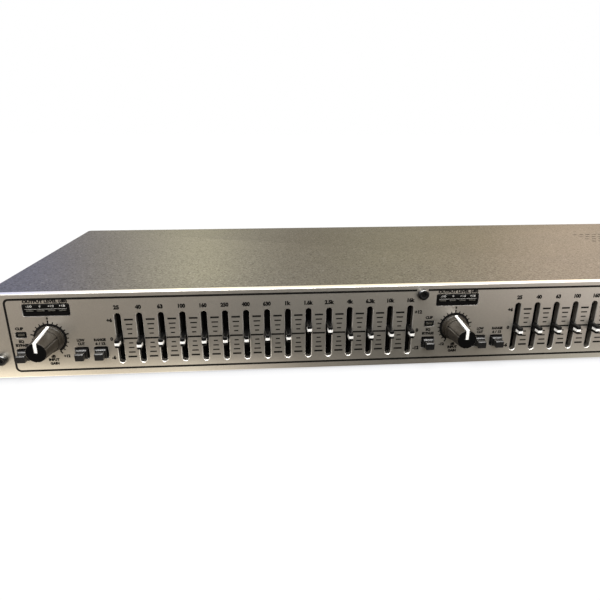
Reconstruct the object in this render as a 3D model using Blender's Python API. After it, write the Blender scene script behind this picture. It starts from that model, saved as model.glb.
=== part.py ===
"""Graphic equalizer: a two-channel, fifteen-band, one-unit rack equalizer.

Frame: +X to the right seen from the front, +Y into the unit (the controls face -Y), +Z up.
Origin: middle of the flat underside. Lengths are in millimetres and become metres in point().
"""
import math

import bmesh
import bpy
from mathutils import Vector
from mathutils.geometry import delaunay_2d_cdt

MM = 0.001

# ---------------------------------------------------------------- shared dimensions (mm)
GAP = 0.3                       # clearance between neighbouring pieces

PANEL_W = 482.6                 # 19 inch rack panel
PANEL_H = 44.0                  # one rack unit, less its clearance
PANEL_T = 3.9
FRONT_Y = -84.5                 # plane of the panel's front face
PANEL_BACK = FRONT_Y + PANEL_T
MID_Z = PANEL_H / 2

CASE_FRONT = PANEL_BACK + GAP
SHEET = 1.2                     # sheet thickness of tray and cover
TRAY_BACK = 79.0

CHANNEL_PITCH = 204.1           # the second channel repeats the first one this far to the right
CHANNELS = [("ch1", 0.0), ("ch2", CHANNEL_PITCH)]

# controls of the first channel
BANDS = ["25", "40", "63", "100", "160", "250", "400", "630",
         "1k", "1k6", "2k5", "4k", "6k3", "10k", "16k"]
SLOT0_X = -152.24
SLOT_PITCH = 10.48
ZERO_Z = MID_Z - 2.4            # the 0 dB line

KNOB_X, KNOB_Z = -185.5, MID_Z - 1.3
SHAFT_R = 3.0

BUTTONS = [("eq_bypass", -199.1), ("low_cut", -171.4), ("range", -162.0)]   # label, x
BUTTON_Z = MID_Z - 9.6

METER_X, METER_Z = -185.25, MID_Z + 13.7
METER_W, METER_H = 22.1, 6.2
CLIP_X, CLIP_Z = -199.05, MID_Z + 1.0
CLIP_W, CLIP_H = 5.1, 3.0

# side, x, z
SCREWS = [("centre", 0.2, MID_Z + 17.4),
          ("left", -210.0, MID_Z - 11.5),
          ("right", 210.0, MID_Z - 11.5)]
SCREW_SHANK_R = 1.45
SCREW_HOLE_R = SCREW_SHANK_R + 0.35

BOARD_FRONT = -70.8             # slider boards
POT_FRONT = -78.0

MAIN_BOARD_Z, MAIN_BOARD_T = 4.0, 1.6
MAIN_BOARD_TOP = MAIN_BOARD_Z + MAIN_BOARD_T

# rear connectors
REAR_Z = 21.0                   # height of their centres
INLET_X, INLET_W, INLET_H = 178.0, 27.0, 19.8
SWITCH_X, SWITCH_W, SWITCH_H = 146.0, 13.4, 21.4
# name, x, male
XLR = [("ch2_output_xlr", 104.0, True), ("ch2_input_xlr", 56.0, False),
       ("ch1_output_xlr", -20.0, True), ("ch1_input_xlr", -68.0, False)]
XLR_BODY_R = 11.6
JACK_X = [x - 24.0 for _, x, _ in XLR]      # one jack to the left of each XLR
JACK_R = 4.4
FLANGE_INNER = TRAY_BACK + GAP
FLANGE_OUTER = FLANGE_INNER + 2.2

# ---------------------------------------------------------------- materials
LOOKS = {
    "panel": dict(colour=(0.36, 0.34, 0.31), roughness=0.42, metallic=0.7),
    "cover": dict(colour=(0.19, 0.185, 0.18), roughness=0.5, metallic=0.2),
    "tray": dict(colour=(0.10, 0.10, 0.105), roughness=0.5, metallic=0.2),
    "black": dict(colour=(0.012, 0.012, 0.014), roughness=0.35, metallic=0.0),
    "knob": dict(colour=(0.03, 0.031, 0.036), roughness=0.45, metallic=0.0),
    "lens": dict(colour=(0.05, 0.05, 0.05), roughness=0.2, metallic=0.0),
    "board": dict(colour=(0.02, 0.14, 0.05), roughness=0.5, metallic=0.0),
    "steel": dict(colour=(0.45, 0.45, 0.46), roughness=0.35, metallic=1.0),
    "screw": dict(colour=(0.02, 0.02, 0.02), roughness=0.3, metallic=0.9),
    "ribbon": dict(colour=(0.45, 0.45, 0.47), roughness=0.6, metallic=0.0),
}


def make_material(name, colour, roughness, metallic):
    material = bpy.data.materials.new(name)
    material.use_nodes = True
    inputs = material.node_tree.nodes["Principled BSDF"].inputs
    inputs["Base Color"].default_value = (*colour, 1.0)
    inputs["Roughness"].default_value = roughness
    inputs["Metallic"].default_value = metallic
    material.diffuse_color = (*colour, 1.0)
    return material


# ---------------------------------------------------------------- flat outlines
def rect(x, y, width, height):
    return [(x - width / 2, y - height / 2), (x + width / 2, y - height / 2),
            (x + width / 2, y + height / 2), (x - width / 2, y + height / 2)]


def arc(x, y, radius, start, sweep, seg):
    """Points along an arc; start and sweep are in degrees."""
    angles = [math.radians(start + sweep * i / seg) for i in range(seg + 1)]
    return [(x + radius * math.cos(angle), y + radius * math.sin(angle)) for angle in angles]


def circle(x, y, radius, count):
    angles = [2 * math.pi * i / count for i in range(count)]
    return [(x + radius * math.cos(angle), y + radius * math.sin(angle)) for angle in angles]


def round_rect(x, y, width, height, radius, seg):
    points = []
    for side_x, side_y, start in ((1, -1, -90), (1, 1, 0), (-1, 1, 90), (-1, -1, 180)):
        points += arc(x + side_x * (width / 2 - radius), y + side_y * (height / 2 - radius),
                      radius, start, 90, seg)
    return points


def stadium(x, y, width, height, seg):
    """A slot with full round ends, along whichever side is longer."""
    radius, run = min(width, height) / 2, abs(height - width) / 2
    upright = arc(0, run, radius, 0, 180, seg) + arc(0, -run, radius, 180, 180, seg)
    if height >= width:
        return [(x + across, y + along) for across, along in upright]
    return [(x + along, y - across) for across, along in upright]


# ---------------------------------------------------------------- solids
# Each of these adds to the bmesh it is given and returns it.
def point(x, y, z):
    return Vector((x * MM, y * MM, z * MM))


def add_ring(shape, axis, depth, outline):
    """Vertices of an outline drawn in the plane that stands at depth on the axis."""
    ring = []
    for spot in outline:
        place = list(spot)
        place.insert("xyz".index(axis), depth)
        ring.append(shape.verts.new(point(*place)))
    return ring


def skin(shape, rings):
    """Walls between successive rings of the same point count."""
    for ring, following in zip(rings, rings[1:]):
        for i in range(len(ring)):
            j = (i + 1) % len(ring)
            shape.faces.new((ring[i], ring[j], following[j], following[i]))


def loft(shape, axis, stations):
    """Skin a stack of (depth, outline) stations and close both ends."""
    rings = [add_ring(shape, axis, depth, outline) for depth, outline in stations]
    skin(shape, rings)
    shape.faces.new(rings[0][::-1])
    shape.faces.new(rings[-1])
    return shape


def inside(x, y, loop):
    """Whether a point lies in a closed outline, by counting crossings."""
    odd = False
    for (x0, y0), (x1, y1) in zip(loop, loop[1:] + loop[:1]):
        if (y0 > y) != (y1 > y) and x < x0 + (y - y0) * (x1 - x0) / (y1 - y0):
            odd = not odd
    return odd


def cap_triangles(loops):
    """Triangles, as indices into the flattened loops, of a flat face with holes."""
    points, edges = [], []
    for loop in loops:
        start = len(points)
        points += [Vector(spot) for spot in loop]
        edges += [(start + i, start + (i + 1) % len(loop)) for i in range(len(loop))]
    # output type 1 keeps only the triangles inside the outer loop
    placed, _, faces, origin, _, _ = delaunay_2d_cdt(points, edges, [], 1, 1e-7)
    assert len(placed) == len(points)
    kept = []
    for face in faces:
        x = sum(placed[i][0] for i in face) / 3
        y = sum(placed[i][1] for i in face) / 3
        if not any(inside(x, y, hole) for hole in loops[1:]):
            kept.append([origin[i][0] for i in face])
    return kept


def prism(shape, axis, low, high, outline, holes=(), edge=None):
    """Extrude an outline with holes along the axis, from depth low to depth high.

    edge, when given, is the (depth, outline) at which an eased low edge reaches full size.
    """
    low_loops = [outline, *holes]
    high_loops = [edge[1] if edge else outline, *holes]
    lows = [add_ring(shape, axis, low, loop) for loop in low_loops]
    highs = [add_ring(shape, axis, high, loop) for loop in high_loops]
    middle = [add_ring(shape, axis, *edge)] if edge else []
    skin(shape, [lows[0], *middle, highs[0]])
    for pair in zip(lows[1:], highs[1:]):
        skin(shape, pair)
    for rings, loops in ((lows, low_loops), (highs, high_loops)):
        flat = [vert for ring in rings for vert in ring]
        if len(loops) == 1:
            shape.faces.new(flat)
            continue
        for triangle in cap_triangles(loops):
            shape.faces.new([flat[i] for i in triangle])
    return shape


def box(shape, x0, x1, y0, y1, z0, z1):
    return prism(shape, "y", y0, y1, [(x0, z0), (x1, z0), (x1, z1), (x0, z1)])


def block(shape, x, z, width, height, y0, y1):
    """A box centred on x and z."""
    return prism(shape, "y", y0, y1, rect(x, z, width, height))


def tube(shape, x, z, y0, y1, radius, count=16):
    return prism(shape, "y", y0, y1, circle(x, z, radius, count))


def block_stack(shape, x, z, stations):
    """Rectangles along Y; each station is (y, drop below z, width, height)."""
    return loft(shape, "y", [(y, rect(x, z - drop, width, height))
                             for y, drop, width, height in stations])


# ---------------------------------------------------------------- objects
def add_object(name, shape, origin=(0.0, 0.0, 0.0)):
    """Turn a bmesh into an object whose own origin stands at origin (mm)."""
    bmesh.ops.recalc_face_normals(shape, faces=shape.faces[:])
    shift = point(*origin)
    for vert in shape.verts:
        vert.co -= shift
    mesh = bpy.data.meshes.new(name)
    shape.to_mesh(mesh)
    shape.free()
    obj = bpy.data.objects.new(name, mesh)
    obj.location = shift
    bpy.context.scene.collection.objects.link(obj)
    return obj


def finish(name, shape, look, origin=(0.0, 0.0, 0.0), smooth=None):
    """Add a finished piece; smooth is the angle in degrees above which edges stay sharp."""
    obj = add_object(name, shape, origin)
    if smooth:
        obj.data.shade_smooth()
        obj.data.set_sharp_from_angle(angle=math.radians(smooth))
    obj.data.materials.append(make_material(name + "_finish", **LOOKS[look]))
    return obj


def add_boolean(obj, label, shape, operation):
    helper = add_object(label, shape)
    helper.hide_render = True
    helper.display_type = "WIRE"
    modifier = obj.modifiers.new(label, "BOOLEAN")
    modifier.operation = operation
    modifier.solver = "EXACT"
    modifier.object = helper


def cut(obj, label, shape):
    add_boolean(obj, label, shape, "DIFFERENCE")


def join(obj, label, shape):
    add_boolean(obj, label, shape, "UNION")


def fader_places(offset):
    """X of each fader in the channel that stands offset to the right of the first."""
    return [SLOT0_X + offset + i * SLOT_PITCH for i in range(len(BANDS))]


# ---------------------------------------------------------------- front panel
PANEL_EDGE = 0.55               # eased front edge
PANEL_CORNER, PANEL_FACE_CORNER = 1.2, 0.9
EAR_INNER_X = 218.0             # between the ears the back is milled back a little
BACK_RECESS = 0.5
RACK_HOLE_X = 232.55            # 465.1 mm between the rack slots
RACK_HOLE_DZ = 15.875           # 31.75 mm apart in height
RACK_SLOT_W, RACK_SLOT_H = 10.0, 6.8
SLOT_W = 3.1
SLOT_LOW, SLOT_HIGH = -15.7, 11.1       # from mid-height
SHAFT_HOLE_R = 3.7
BUTTON_HOLE_W, BUTTON_HOLE_H = 6.7, 6.3


def build_front_panel():
    holes = []
    for _, offset in CHANNELS:
        for x in fader_places(offset):
            holes.append(stadium(x, MID_Z + (SLOT_LOW + SLOT_HIGH) / 2,
                                 SLOT_W, SLOT_HIGH - SLOT_LOW, seg=6))
        holes.append(circle(KNOB_X + offset, KNOB_Z, SHAFT_HOLE_R, 20))
        for _, x in BUTTONS:
            holes.append(rect(x + offset, BUTTON_Z, BUTTON_HOLE_W, BUTTON_HOLE_H))
        holes.append(round_rect(METER_X + offset, METER_Z, METER_W, METER_H, 0.8, seg=2))
        holes.append(rect(CLIP_X + offset, CLIP_Z, CLIP_W, CLIP_H))
    for _, x, z in SCREWS:
        holes.append(circle(x, z, SCREW_HOLE_R, 12))
    for side_x in (-1, 1):
        for side_z in (-1, 1):
            holes.append(stadium(side_x * RACK_HOLE_X, MID_Z + side_z * RACK_HOLE_DZ,
                                 RACK_SLOT_W, RACK_SLOT_H, seg=8))
    face = round_rect(0, MID_Z, PANEL_W - 2 * PANEL_EDGE, PANEL_H - 2 * PANEL_EDGE,
                      PANEL_FACE_CORNER, seg=3)
    full = round_rect(0, MID_Z, PANEL_W, PANEL_H, PANEL_CORNER, seg=3)
    panel = finish("front_panel",
                   prism(bmesh.new(), "y", FRONT_Y, PANEL_BACK, face, holes,
                         edge=(FRONT_Y + PANEL_EDGE, full)), "panel")
    cut(panel, "panel_back_recess",
        box(bmesh.new(), -EAR_INNER_X, EAR_INNER_X, PANEL_BACK - BACK_RECESS, PANEL_BACK + 2,
            -3, PANEL_H + 3))


# ---------------------------------------------------------------- chassis tray
TRAY_HALF_W = 214.0
TRAY_TOP = 41.2
TRAY_PROFILE = [                # y, z: a floor between a front and a rear wall
    (CASE_FRONT, 0), (TRAY_BACK, 0), (TRAY_BACK, TRAY_TOP), (TRAY_BACK - SHEET, TRAY_TOP),
    (TRAY_BACK - SHEET, SHEET), (CASE_FRONT + SHEET, SHEET), (CASE_FRONT + SHEET, TRAY_TOP),
    (CASE_FRONT, TRAY_TOP)]
WALL_OVERCUT = 1.5              # cutters pass this far beyond each side of a wall

# the control window of each channel, with a taller part around its meter
WINDOWS = [                     # channel offset, left x, right x
    (0.0, -205.0, -2.9),
    (CHANNEL_PITCH, CLIP_X + CHANNEL_PITCH - CLIP_W / 2 - 3.2, 203.4)]
WINDOW_BOTTOM, WINDOW_TOP, WINDOW_METER_TOP = 4.6, 35.2, 39.6
WINDOW_METER_MARGIN = 1.4

REAR_CLEARANCE = 0.4            # around each connector body
JACK_CLEARANCE = 0.5


def build_tray():
    tray = finish("chassis_tray",
                  prism(bmesh.new(), "x", -TRAY_HALF_W, TRAY_HALF_W, TRAY_PROFILE), "tray")
    shape = bmesh.new()
    front = CASE_FRONT - WALL_OVERCUT, CASE_FRONT + SHEET + WALL_OVERCUT
    for offset, left, right in WINDOWS:
        meter_left = METER_X + offset - METER_W / 2 - WINDOW_METER_MARGIN
        meter_right = METER_X + offset + METER_W / 2 + WINDOW_METER_MARGIN
        outline = [(left, WINDOW_BOTTOM), (right, WINDOW_BOTTOM), (right, WINDOW_TOP),
                   (meter_right, WINDOW_TOP), (meter_right, WINDOW_METER_TOP),
                   (meter_left, WINDOW_METER_TOP), (meter_left, WINDOW_TOP),
                   (left, WINDOW_TOP)]
        prism(shape, "y", *front, outline)
    for _, x, z in SCREWS:
        tube(shape, x, z, *front, SCREW_HOLE_R, 12)
    rear = TRAY_BACK - SHEET - WALL_OVERCUT, TRAY_BACK + WALL_OVERCUT
    for _, x, _ in XLR:
        tube(shape, x, REAR_Z, *rear, XLR_BODY_R + REAR_CLEARANCE, 24)
    for x in JACK_X:
        tube(shape, x, REAR_Z, *rear, JACK_R + JACK_CLEARANCE)
    for x, width, height in ((INLET_X, INLET_W, INLET_H), (SWITCH_X, SWITCH_W, SWITCH_H)):
        block(shape, x, REAR_Z, width + 2 * REAR_CLEARANCE, height + 2 * REAR_CLEARANCE, *rear)
    cut(tray, "tray_openings", shape)


# ---------------------------------------------------------------- top cover
COVER_HALF_W = 216.7
COVER_BACK = 80.5
COVER_BOTTOM, COVER_TOP = 0.4, 43.0
COVER_CORNER = 3.0              # upright back corners
COVER_BEND = 1.5                # rounding along the top edges
BEND_SEG = 4
LIP_HALF_W, LIP_Z = 212.5, 38.0     # opening under the cover's rear lip

VENT_X0, VENT_PITCH_X, VENT_COUNT = 157.0, 5.0, 9
VENT_ROWS = [13.5, 21.0, 28.5, 36.0]    # y
VENT_LEN, VENT_W = 3.4, 1.6


def cover_outline(half_w, front, back, radius):
    """Plan outline of the cover: square at the front, rounded at both back corners."""
    return [(-half_w, front),
            *arc(-half_w + radius, back - radius, radius, 180, -90, 4),
            *arc(half_w - radius, back - radius, radius, 90, -90, 4),
            (half_w, front)]


def build_cover():
    stations = [(COVER_BOTTOM, cover_outline(COVER_HALF_W, CASE_FRONT, COVER_BACK, COVER_CORNER))]
    for i in range(BEND_SEG + 1):
        angle = math.radians(90 * i / BEND_SEG)
        inset = COVER_BEND * (1 - math.cos(angle))
        z = COVER_TOP - COVER_BEND + COVER_BEND * math.sin(angle)
        stations.append((z, cover_outline(COVER_HALF_W - inset, CASE_FRONT, COVER_BACK - inset,
                                          COVER_CORNER - inset)))
    cover = finish("top_cover", loft(bmesh.new(), "z", stations), "cover", smooth=35)
    # the hollow runs out through the front and the underside
    hollow = cover_outline(COVER_HALF_W - SHEET, CASE_FRONT - 8, COVER_BACK - SHEET,
                           COVER_CORNER - SHEET)
    cut(cover, "cover_inside", prism(bmesh.new(), "z", -4, COVER_TOP - SHEET, hollow))
    cut(cover, "cover_rear_opening",
        box(bmesh.new(), -LIP_HALF_W, LIP_HALF_W, COVER_BACK - 3.4, COVER_BACK + 4, -6, LIP_Z))
    vents = bmesh.new()
    for y in VENT_ROWS:
        for i in range(VENT_COUNT):
            prism(vents, "z", COVER_TOP - SHEET - 2, COVER_TOP + 2,
                  stadium(VENT_X0 + i * VENT_PITCH_X, y, VENT_LEN, VENT_W, seg=4))
    cut(cover, "cover_vents", vents)


# ---------------------------------------------------------------- slider boards
BOARD_T = 1.6
BOARD_LEFT, BOARD_RIGHT = -203.6, -0.6
BOARD_BOTTOM, BOARD_TOP = 2.4, 40.4
PART_SINK = 0.4                 # parts sink this far into their board to join it
POT_W, POT_H = 8.0, 33.0
KNOB_POT_SIZE = 12.0
SWITCH_BLOCK_SIZE, SWITCH_BLOCK_FRONT = 7.6, -75.6
WIPER_SLOT_W, WIPER_SLOT_H, WIPER_SLOT_DEPTH = 2.2, 24.8, 5.8
SHAFT_BORE_R, SHAFT_BORE_DEPTH = SHAFT_R + 0.4, 4.4
STEM_WELL_SIZE, STEM_WELL_BACK = 3.8, -71.2     # takes the stem of a push button


def build_slider_board(channel, offset):
    board = finish(channel + "_slider_board",
                   box(bmesh.new(), BOARD_LEFT + offset, BOARD_RIGHT + offset,
                       BOARD_FRONT, BOARD_FRONT + BOARD_T, BOARD_BOTTOM, BOARD_TOP), "board")
    parts, wells = bmesh.new(), bmesh.new()
    part_back = BOARD_FRONT + PART_SINK
    for x in fader_places(offset):
        block(parts, x, ZERO_Z, POT_W, POT_H, POT_FRONT, part_back)
        block(wells, x, ZERO_Z, WIPER_SLOT_W, WIPER_SLOT_H,
              POT_FRONT - 1, POT_FRONT + WIPER_SLOT_DEPTH)
    x = KNOB_X + offset
    block(parts, x, KNOB_Z, KNOB_POT_SIZE, KNOB_POT_SIZE, POT_FRONT, part_back)
    tube(wells, x, KNOB_Z, POT_FRONT - 1, POT_FRONT + SHAFT_BORE_DEPTH, SHAFT_BORE_R)
    for _, button_x in BUTTONS:
        x = button_x + offset
        block(parts, x, BUTTON_Z, SWITCH_BLOCK_SIZE, SWITCH_BLOCK_SIZE,
              SWITCH_BLOCK_FRONT, part_back)
        block(wells, x, BUTTON_Z, STEM_WELL_SIZE, STEM_WELL_SIZE,
              SWITCH_BLOCK_FRONT - 1, STEM_WELL_BACK)
    join(board, channel + "_parts_on_board", parts)
    cut(board, channel + "_wiper_slots", wells)


# ---------------------------------------------------------------- meters and clip lamps
LENS_PROUD = 0.15
METER_BACK = -77.6


def build_lamps(channel, offset):
    front = FRONT_Y - LENS_PROUD
    meter = round_rect(METER_X + offset, METER_Z, METER_W - 2 * GAP, METER_H - 2 * GAP, 0.6, seg=2)
    finish(channel + "_level_meter", prism(bmesh.new(), "y", front, METER_BACK, meter), "lens")
    finish(channel + "_clip_lamp",
           block(bmesh.new(), CLIP_X + offset, CLIP_Z, CLIP_W - 2 * GAP, CLIP_H - 2 * GAP,
                 front, BOARD_FRONT - GAP), "lens")


# ---------------------------------------------------------------- panel screws
SCREW_HEAD_R, SCREW_HEAD_H = 2.8, 2.4
SCREW_END = CASE_FRONT + 4.5
# domed head: share of the head's height, share of its radius
SCREW_DOME = [(0, 1), (0.45, 0.98), (0.85, 0.78), (1, 0.45)]


def build_screw(side, x, z):
    head_rear = FRONT_Y - GAP
    stations = [(SCREW_END, SCREW_SHANK_R), (head_rear, SCREW_SHANK_R)]
    stations += [(head_rear - rise * SCREW_HEAD_H, SCREW_HEAD_R * share)
                 for rise, share in SCREW_DOME]
    finish("panel_screw_" + side,
           loft(bmesh.new(), "y", [(y, circle(x, z, radius, 12)) for y, radius in stations]),
           "screw", smooth=50)


# ---------------------------------------------------------------- faders
# fader positions at rest, from the 0 dB detent; the others stand on it
REST = {("ch1", "40"): -1.1, ("ch1", "1k6"): 4.6, ("ch1", "2k5"): 3.8,
        ("ch1", "630"): 0.5, ("ch1", "1k"): 0.5, ("ch1", "10k"): 0.6, ("ch1", "16k"): 0.5}
CAP_W, CAP_H = 2.15, 4.3        # a narrow block that reaches into the slot
CAP_EASE = 0.3                  # easing of its front edges
CAP_FRONT, CAP_REAR = FRONT_Y - 6.3, FRONT_Y + 3.0
CAP_DROP = 0.4                  # the cap's middle sits this far under the lever's middle
STEM_W, STEM_H, STEM_END = 1.2, 3.2, -72.9
FADER_STATIONS = [              # y, drop, width, height: the stem, then the cap
    (STEM_END, 0, STEM_W, STEM_H),
    (CAP_REAR, 0, STEM_W, STEM_H),
    (CAP_REAR, CAP_DROP, CAP_W, CAP_H),
    (CAP_FRONT + CAP_EASE, CAP_DROP, CAP_W, CAP_H),
    (CAP_FRONT, CAP_DROP, CAP_W - 2 * CAP_EASE, CAP_H - 2 * CAP_EASE)]


def build_faders(channel, offset):
    for band, x in zip(BANDS, fader_places(offset)):
        z = ZERO_Z + REST.get((channel, band), 0.0)
        finish(f"{channel}_fader_{band}", block_stack(bmesh.new(), x, z, FADER_STATIONS),
               "black", origin=(x, FRONT_Y, z))


# ---------------------------------------------------------------- gain knobs
KNOB_FACETS = 6                 # flat flanks, besides the narrow strip at the top
KNOB_STRIP = 20                 # angle that strip takes up, in degrees
FACET_ANGLE = (360 - KNOB_STRIP) / KNOB_FACETS
FACET_SEG = 6
KNOB_TIP = FRONT_Y - 16.8
KNOB_BASE_R, KNOB_TIP_R = 6.2, 4.85
SKIRT_R, SKIRT_EASE = 6.7, 0.35
SKIRT_REAR = FRONT_Y - 0.35
SKIRT_FRONT = SKIRT_REAR - 0.95
BAND_FRONT = SKIRT_REAR - 4.3   # round band between the skirt and the flanks
KNOB_STATIONS = [               # y, radius, flatness of the flanks
    (POT_FRONT + 3.9, SHAFT_R, 0),
    (SKIRT_REAR, SHAFT_R, 0),
    (SKIRT_REAR, SKIRT_R, 0),
    (SKIRT_FRONT + SKIRT_EASE, SKIRT_R, 0),
    (SKIRT_FRONT, SKIRT_R - SKIRT_EASE, 0),
    (SKIRT_FRONT - 0.02, KNOB_BASE_R, 0),
    (BAND_FRONT, KNOB_BASE_R - 0.25, 0),
    (BAND_FRONT - 0.3, KNOB_BASE_R - 0.35, 0.6),
    (KNOB_TIP + 0.15, KNOB_TIP_R, 0.35),
    (KNOB_TIP, KNOB_TIP_R - 0.15, 0.35)]


def knob_outline(x, z, radius, flat):
    """Once round the knob: round where flat is 0, straight between corners where it is 1."""
    spokes = []                 # angle from the top, distance from the axis
    for k in range(KNOB_FACETS):
        for i in range(FACET_SEG):
            off = FACET_ANGLE * (i / FACET_SEG - 0.5)
            chord = math.cos(math.radians(FACET_ANGLE / 2)) / math.cos(math.radians(off))
            spokes.append((KNOB_STRIP / 2 + FACET_ANGLE * (k + i / FACET_SEG),
                           radius * (1 - flat + flat * chord)))
    for angle in (-KNOB_STRIP / 2, -KNOB_STRIP / 6, KNOB_STRIP / 6):
        spokes.append((angle, radius))
    return [(x + reach * math.sin(math.radians(angle)), z + reach * math.cos(math.radians(angle)))
            for angle, reach in spokes]


def build_knob(channel, offset):
    x = KNOB_X + offset
    stations = [(y, knob_outline(x, KNOB_Z, radius, flat)) for y, radius, flat in KNOB_STATIONS]
    finish(channel + "_gain_knob", loft(bmesh.new(), "y", stations), "knob",
           origin=(x, SKIRT_REAR, KNOB_Z), smooth=28)


# ---------------------------------------------------------------- push buttons
COLLAR_W, COLLAR_H = 5.3, 4.8
COLLAR_REAR, COLLAR_FRONT = -80.2, FRONT_Y - 2.0
BOSS_W, BOSS_H = 4.3, 3.8
BOSS_DROP = 0.3                 # the boss sits this far under the collar's middle
BOSS_FRONT = FRONT_Y - 5.2
BUTTON_STATIONS = [             # y, drop, width, height: stem, collar, boss
    (-74.6, 0, 3.0, 3.0),
    (COLLAR_REAR, 0, 3.0, 3.0),
    (COLLAR_REAR, 0, COLLAR_W, COLLAR_H),
    (COLLAR_FRONT + 0.3, 0, COLLAR_W, COLLAR_H),
    (COLLAR_FRONT, 0, COLLAR_W - 0.4, COLLAR_H - 0.4),
    (COLLAR_FRONT, BOSS_DROP, BOSS_W, BOSS_H),
    (BOSS_FRONT + 0.3, BOSS_DROP, BOSS_W - 0.1, BOSS_H - 0.1),
    (BOSS_FRONT, BOSS_DROP, BOSS_W - 0.6, BOSS_H - 0.6)]


def build_buttons(channel, offset):
    for label, button_x in BUTTONS:
        x = button_x + offset
        finish(f"{channel}_{label}_button",
               block_stack(bmesh.new(), x, BUTTON_Z, BUTTON_STATIONS),
               "black", origin=(x, FRONT_Y, BUTTON_Z))


# ---------------------------------------------------------------- main board with jacks
MAIN_BOARD_LEFT, MAIN_BOARD_RIGHT, MAIN_BOARD_FRONT = -112, 122, -40
MAIN_BOARD_BACK = TRAY_BACK - SHEET - 0.9
JACK_BODY_HALF_W, JACK_BODY_DEPTH, JACK_BODY_RISE = 7.8, 23.0, 7.6
JACK_BORE_R = 3.2
LOW_BLOCK_X = [-92 + 26 * i for i in range(8)]
# x, y, height, radius, segments
POSTS = [(-86 + 35 * i, 26, 12.0, 4.0, 12) for i in range(6)]
POSTS += [(x, -26, 24.0, 5.0, 14) for x in (102, 114)]


def build_main_board():
    board = finish("main_board",
                   box(bmesh.new(), MAIN_BOARD_LEFT, MAIN_BOARD_RIGHT,
                       MAIN_BOARD_FRONT, MAIN_BOARD_BACK, MAIN_BOARD_Z, MAIN_BOARD_TOP),
                   "board", smooth=35)
    parts, bushings, bores = bmesh.new(), bmesh.new(), bmesh.new()
    foot = MAIN_BOARD_TOP - PART_SINK
    for x in JACK_X:
        box(parts, x - JACK_BODY_HALF_W, x + JACK_BODY_HALF_W, MAIN_BOARD_BACK - JACK_BODY_DEPTH,
            MAIN_BOARD_BACK - 0.3, foot, REAR_Z + JACK_BODY_RISE)
        tube(bushings, x, REAR_Z, MAIN_BOARD_BACK - 2.0, TRAY_BACK + 4.4, JACK_R)
        tube(bores, x, REAR_Z, MAIN_BOARD_BACK - 21.0, TRAY_BACK + 6.0, JACK_BORE_R)
    for x in LOW_BLOCK_X:
        box(parts, x - 3.2, x + 3.2, -4, 6, foot, MAIN_BOARD_TOP + 3.4)
    for x, y, height, radius, count in POSTS:
        prism(parts, "z", foot, MAIN_BOARD_TOP + height, circle(x, y, radius, count))
    join(board, "parts_on_main_board", parts)
    join(board, "jack_bushings", bushings)
    cut(board, "jack_bores", bores)


# ---------------------------------------------------------------- ribbon cable
RIBBON_LEFT, RIBBON_RIGHT = -24.0, -4.0
RIBBON_Y = -68.7                # of the upright run behind the slider board
RIBBON_LOW = MAIN_BOARD_TOP + 0.4
RIBBON_HIGH = RIBBON_LOW + 1.1
RIBBON_PROFILE = [              # y, z: down the rear side, then back along the underside
    (RIBBON_Y + 0.9, 30.0), (RIBBON_Y + 0.9, 12.5), (-64.5, 7.6), (-57.0, RIBBON_HIGH),
    (-34.0, RIBBON_HIGH), (-34.0, RIBBON_LOW), (-57.6, RIBBON_LOW), (-65.4, 6.3),
    (RIBBON_Y - 0.15, 11.0), (RIBBON_Y - 0.15, 30.0)]


def build_ribbon():
    finish("ribbon_cable",
           prism(bmesh.new(), "x", RIBBON_LEFT, RIBBON_RIGHT, RIBBON_PROFILE), "ribbon")


# ---------------------------------------------------------------- power transformer
CORE_X, CORE_Y = 178.0, 24.0
CORE_HALF_W, CORE_HALF_D, CORE_H = 21, 10, 36.0
CORE_BASE = SHEET + 0.4
WINDING_W, WINDING_H, WINDING_HALF_D = 27.6, 22.4, 18.5
FOOT_HALF_W, FOOT_HALF_D, FOOT_TOP = 26, 8, SHEET + 2.0


def build_transformer():
    transformer = finish("power_transformer",
                         box(bmesh.new(), CORE_X - CORE_HALF_W, CORE_X + CORE_HALF_W,
                             CORE_Y - CORE_HALF_D, CORE_Y + CORE_HALF_D,
                             CORE_BASE, CORE_BASE + CORE_H), "steel")
    winding = round_rect(CORE_X, CORE_BASE + CORE_H / 2, WINDING_W, WINDING_H, 3.0, seg=2)
    join(transformer, "transformer_winding",
         prism(bmesh.new(), "y", CORE_Y - WINDING_HALF_D, CORE_Y + WINDING_HALF_D, winding))
    # the foot starts a hair lower, so that no faces coincide
    join(transformer, "transformer_foot",
         box(bmesh.new(), CORE_X - FOOT_HALF_W, CORE_X + FOOT_HALF_W,
             CORE_Y - FOOT_HALF_D, CORE_Y + FOOT_HALF_D, CORE_BASE - 0.01, FOOT_TOP))


# ---------------------------------------------------------------- rear connectors
WELL_END = FLANGE_OUTER + 2     # cutters from the rear start here


def flanged(name, flange, body_label, body, depth, smooth=None):
    """A flange on the rear wall with a body that reaches depth into the unit."""
    obj = finish(name, prism(bmesh.new(), "y", FLANGE_INNER, FLANGE_OUTER, flange),
                 "black", smooth=smooth)
    join(obj, body_label,
         prism(bmesh.new(), "y", TRAY_BACK - depth, FLANGE_INNER + 1.0, body))
    return obj


INLET_WELL_HALF_W, INLET_WELL_HALF_H = 12.0, 8.2
INLET_WELL_CUT = 4.2            # the well is six-sided: both upper corners are cut
INLET_PINS = [(-7.0, -1.5), (0.0, 2.5), (7.0, -1.5)]    # x, z from the inlet's centre


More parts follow.
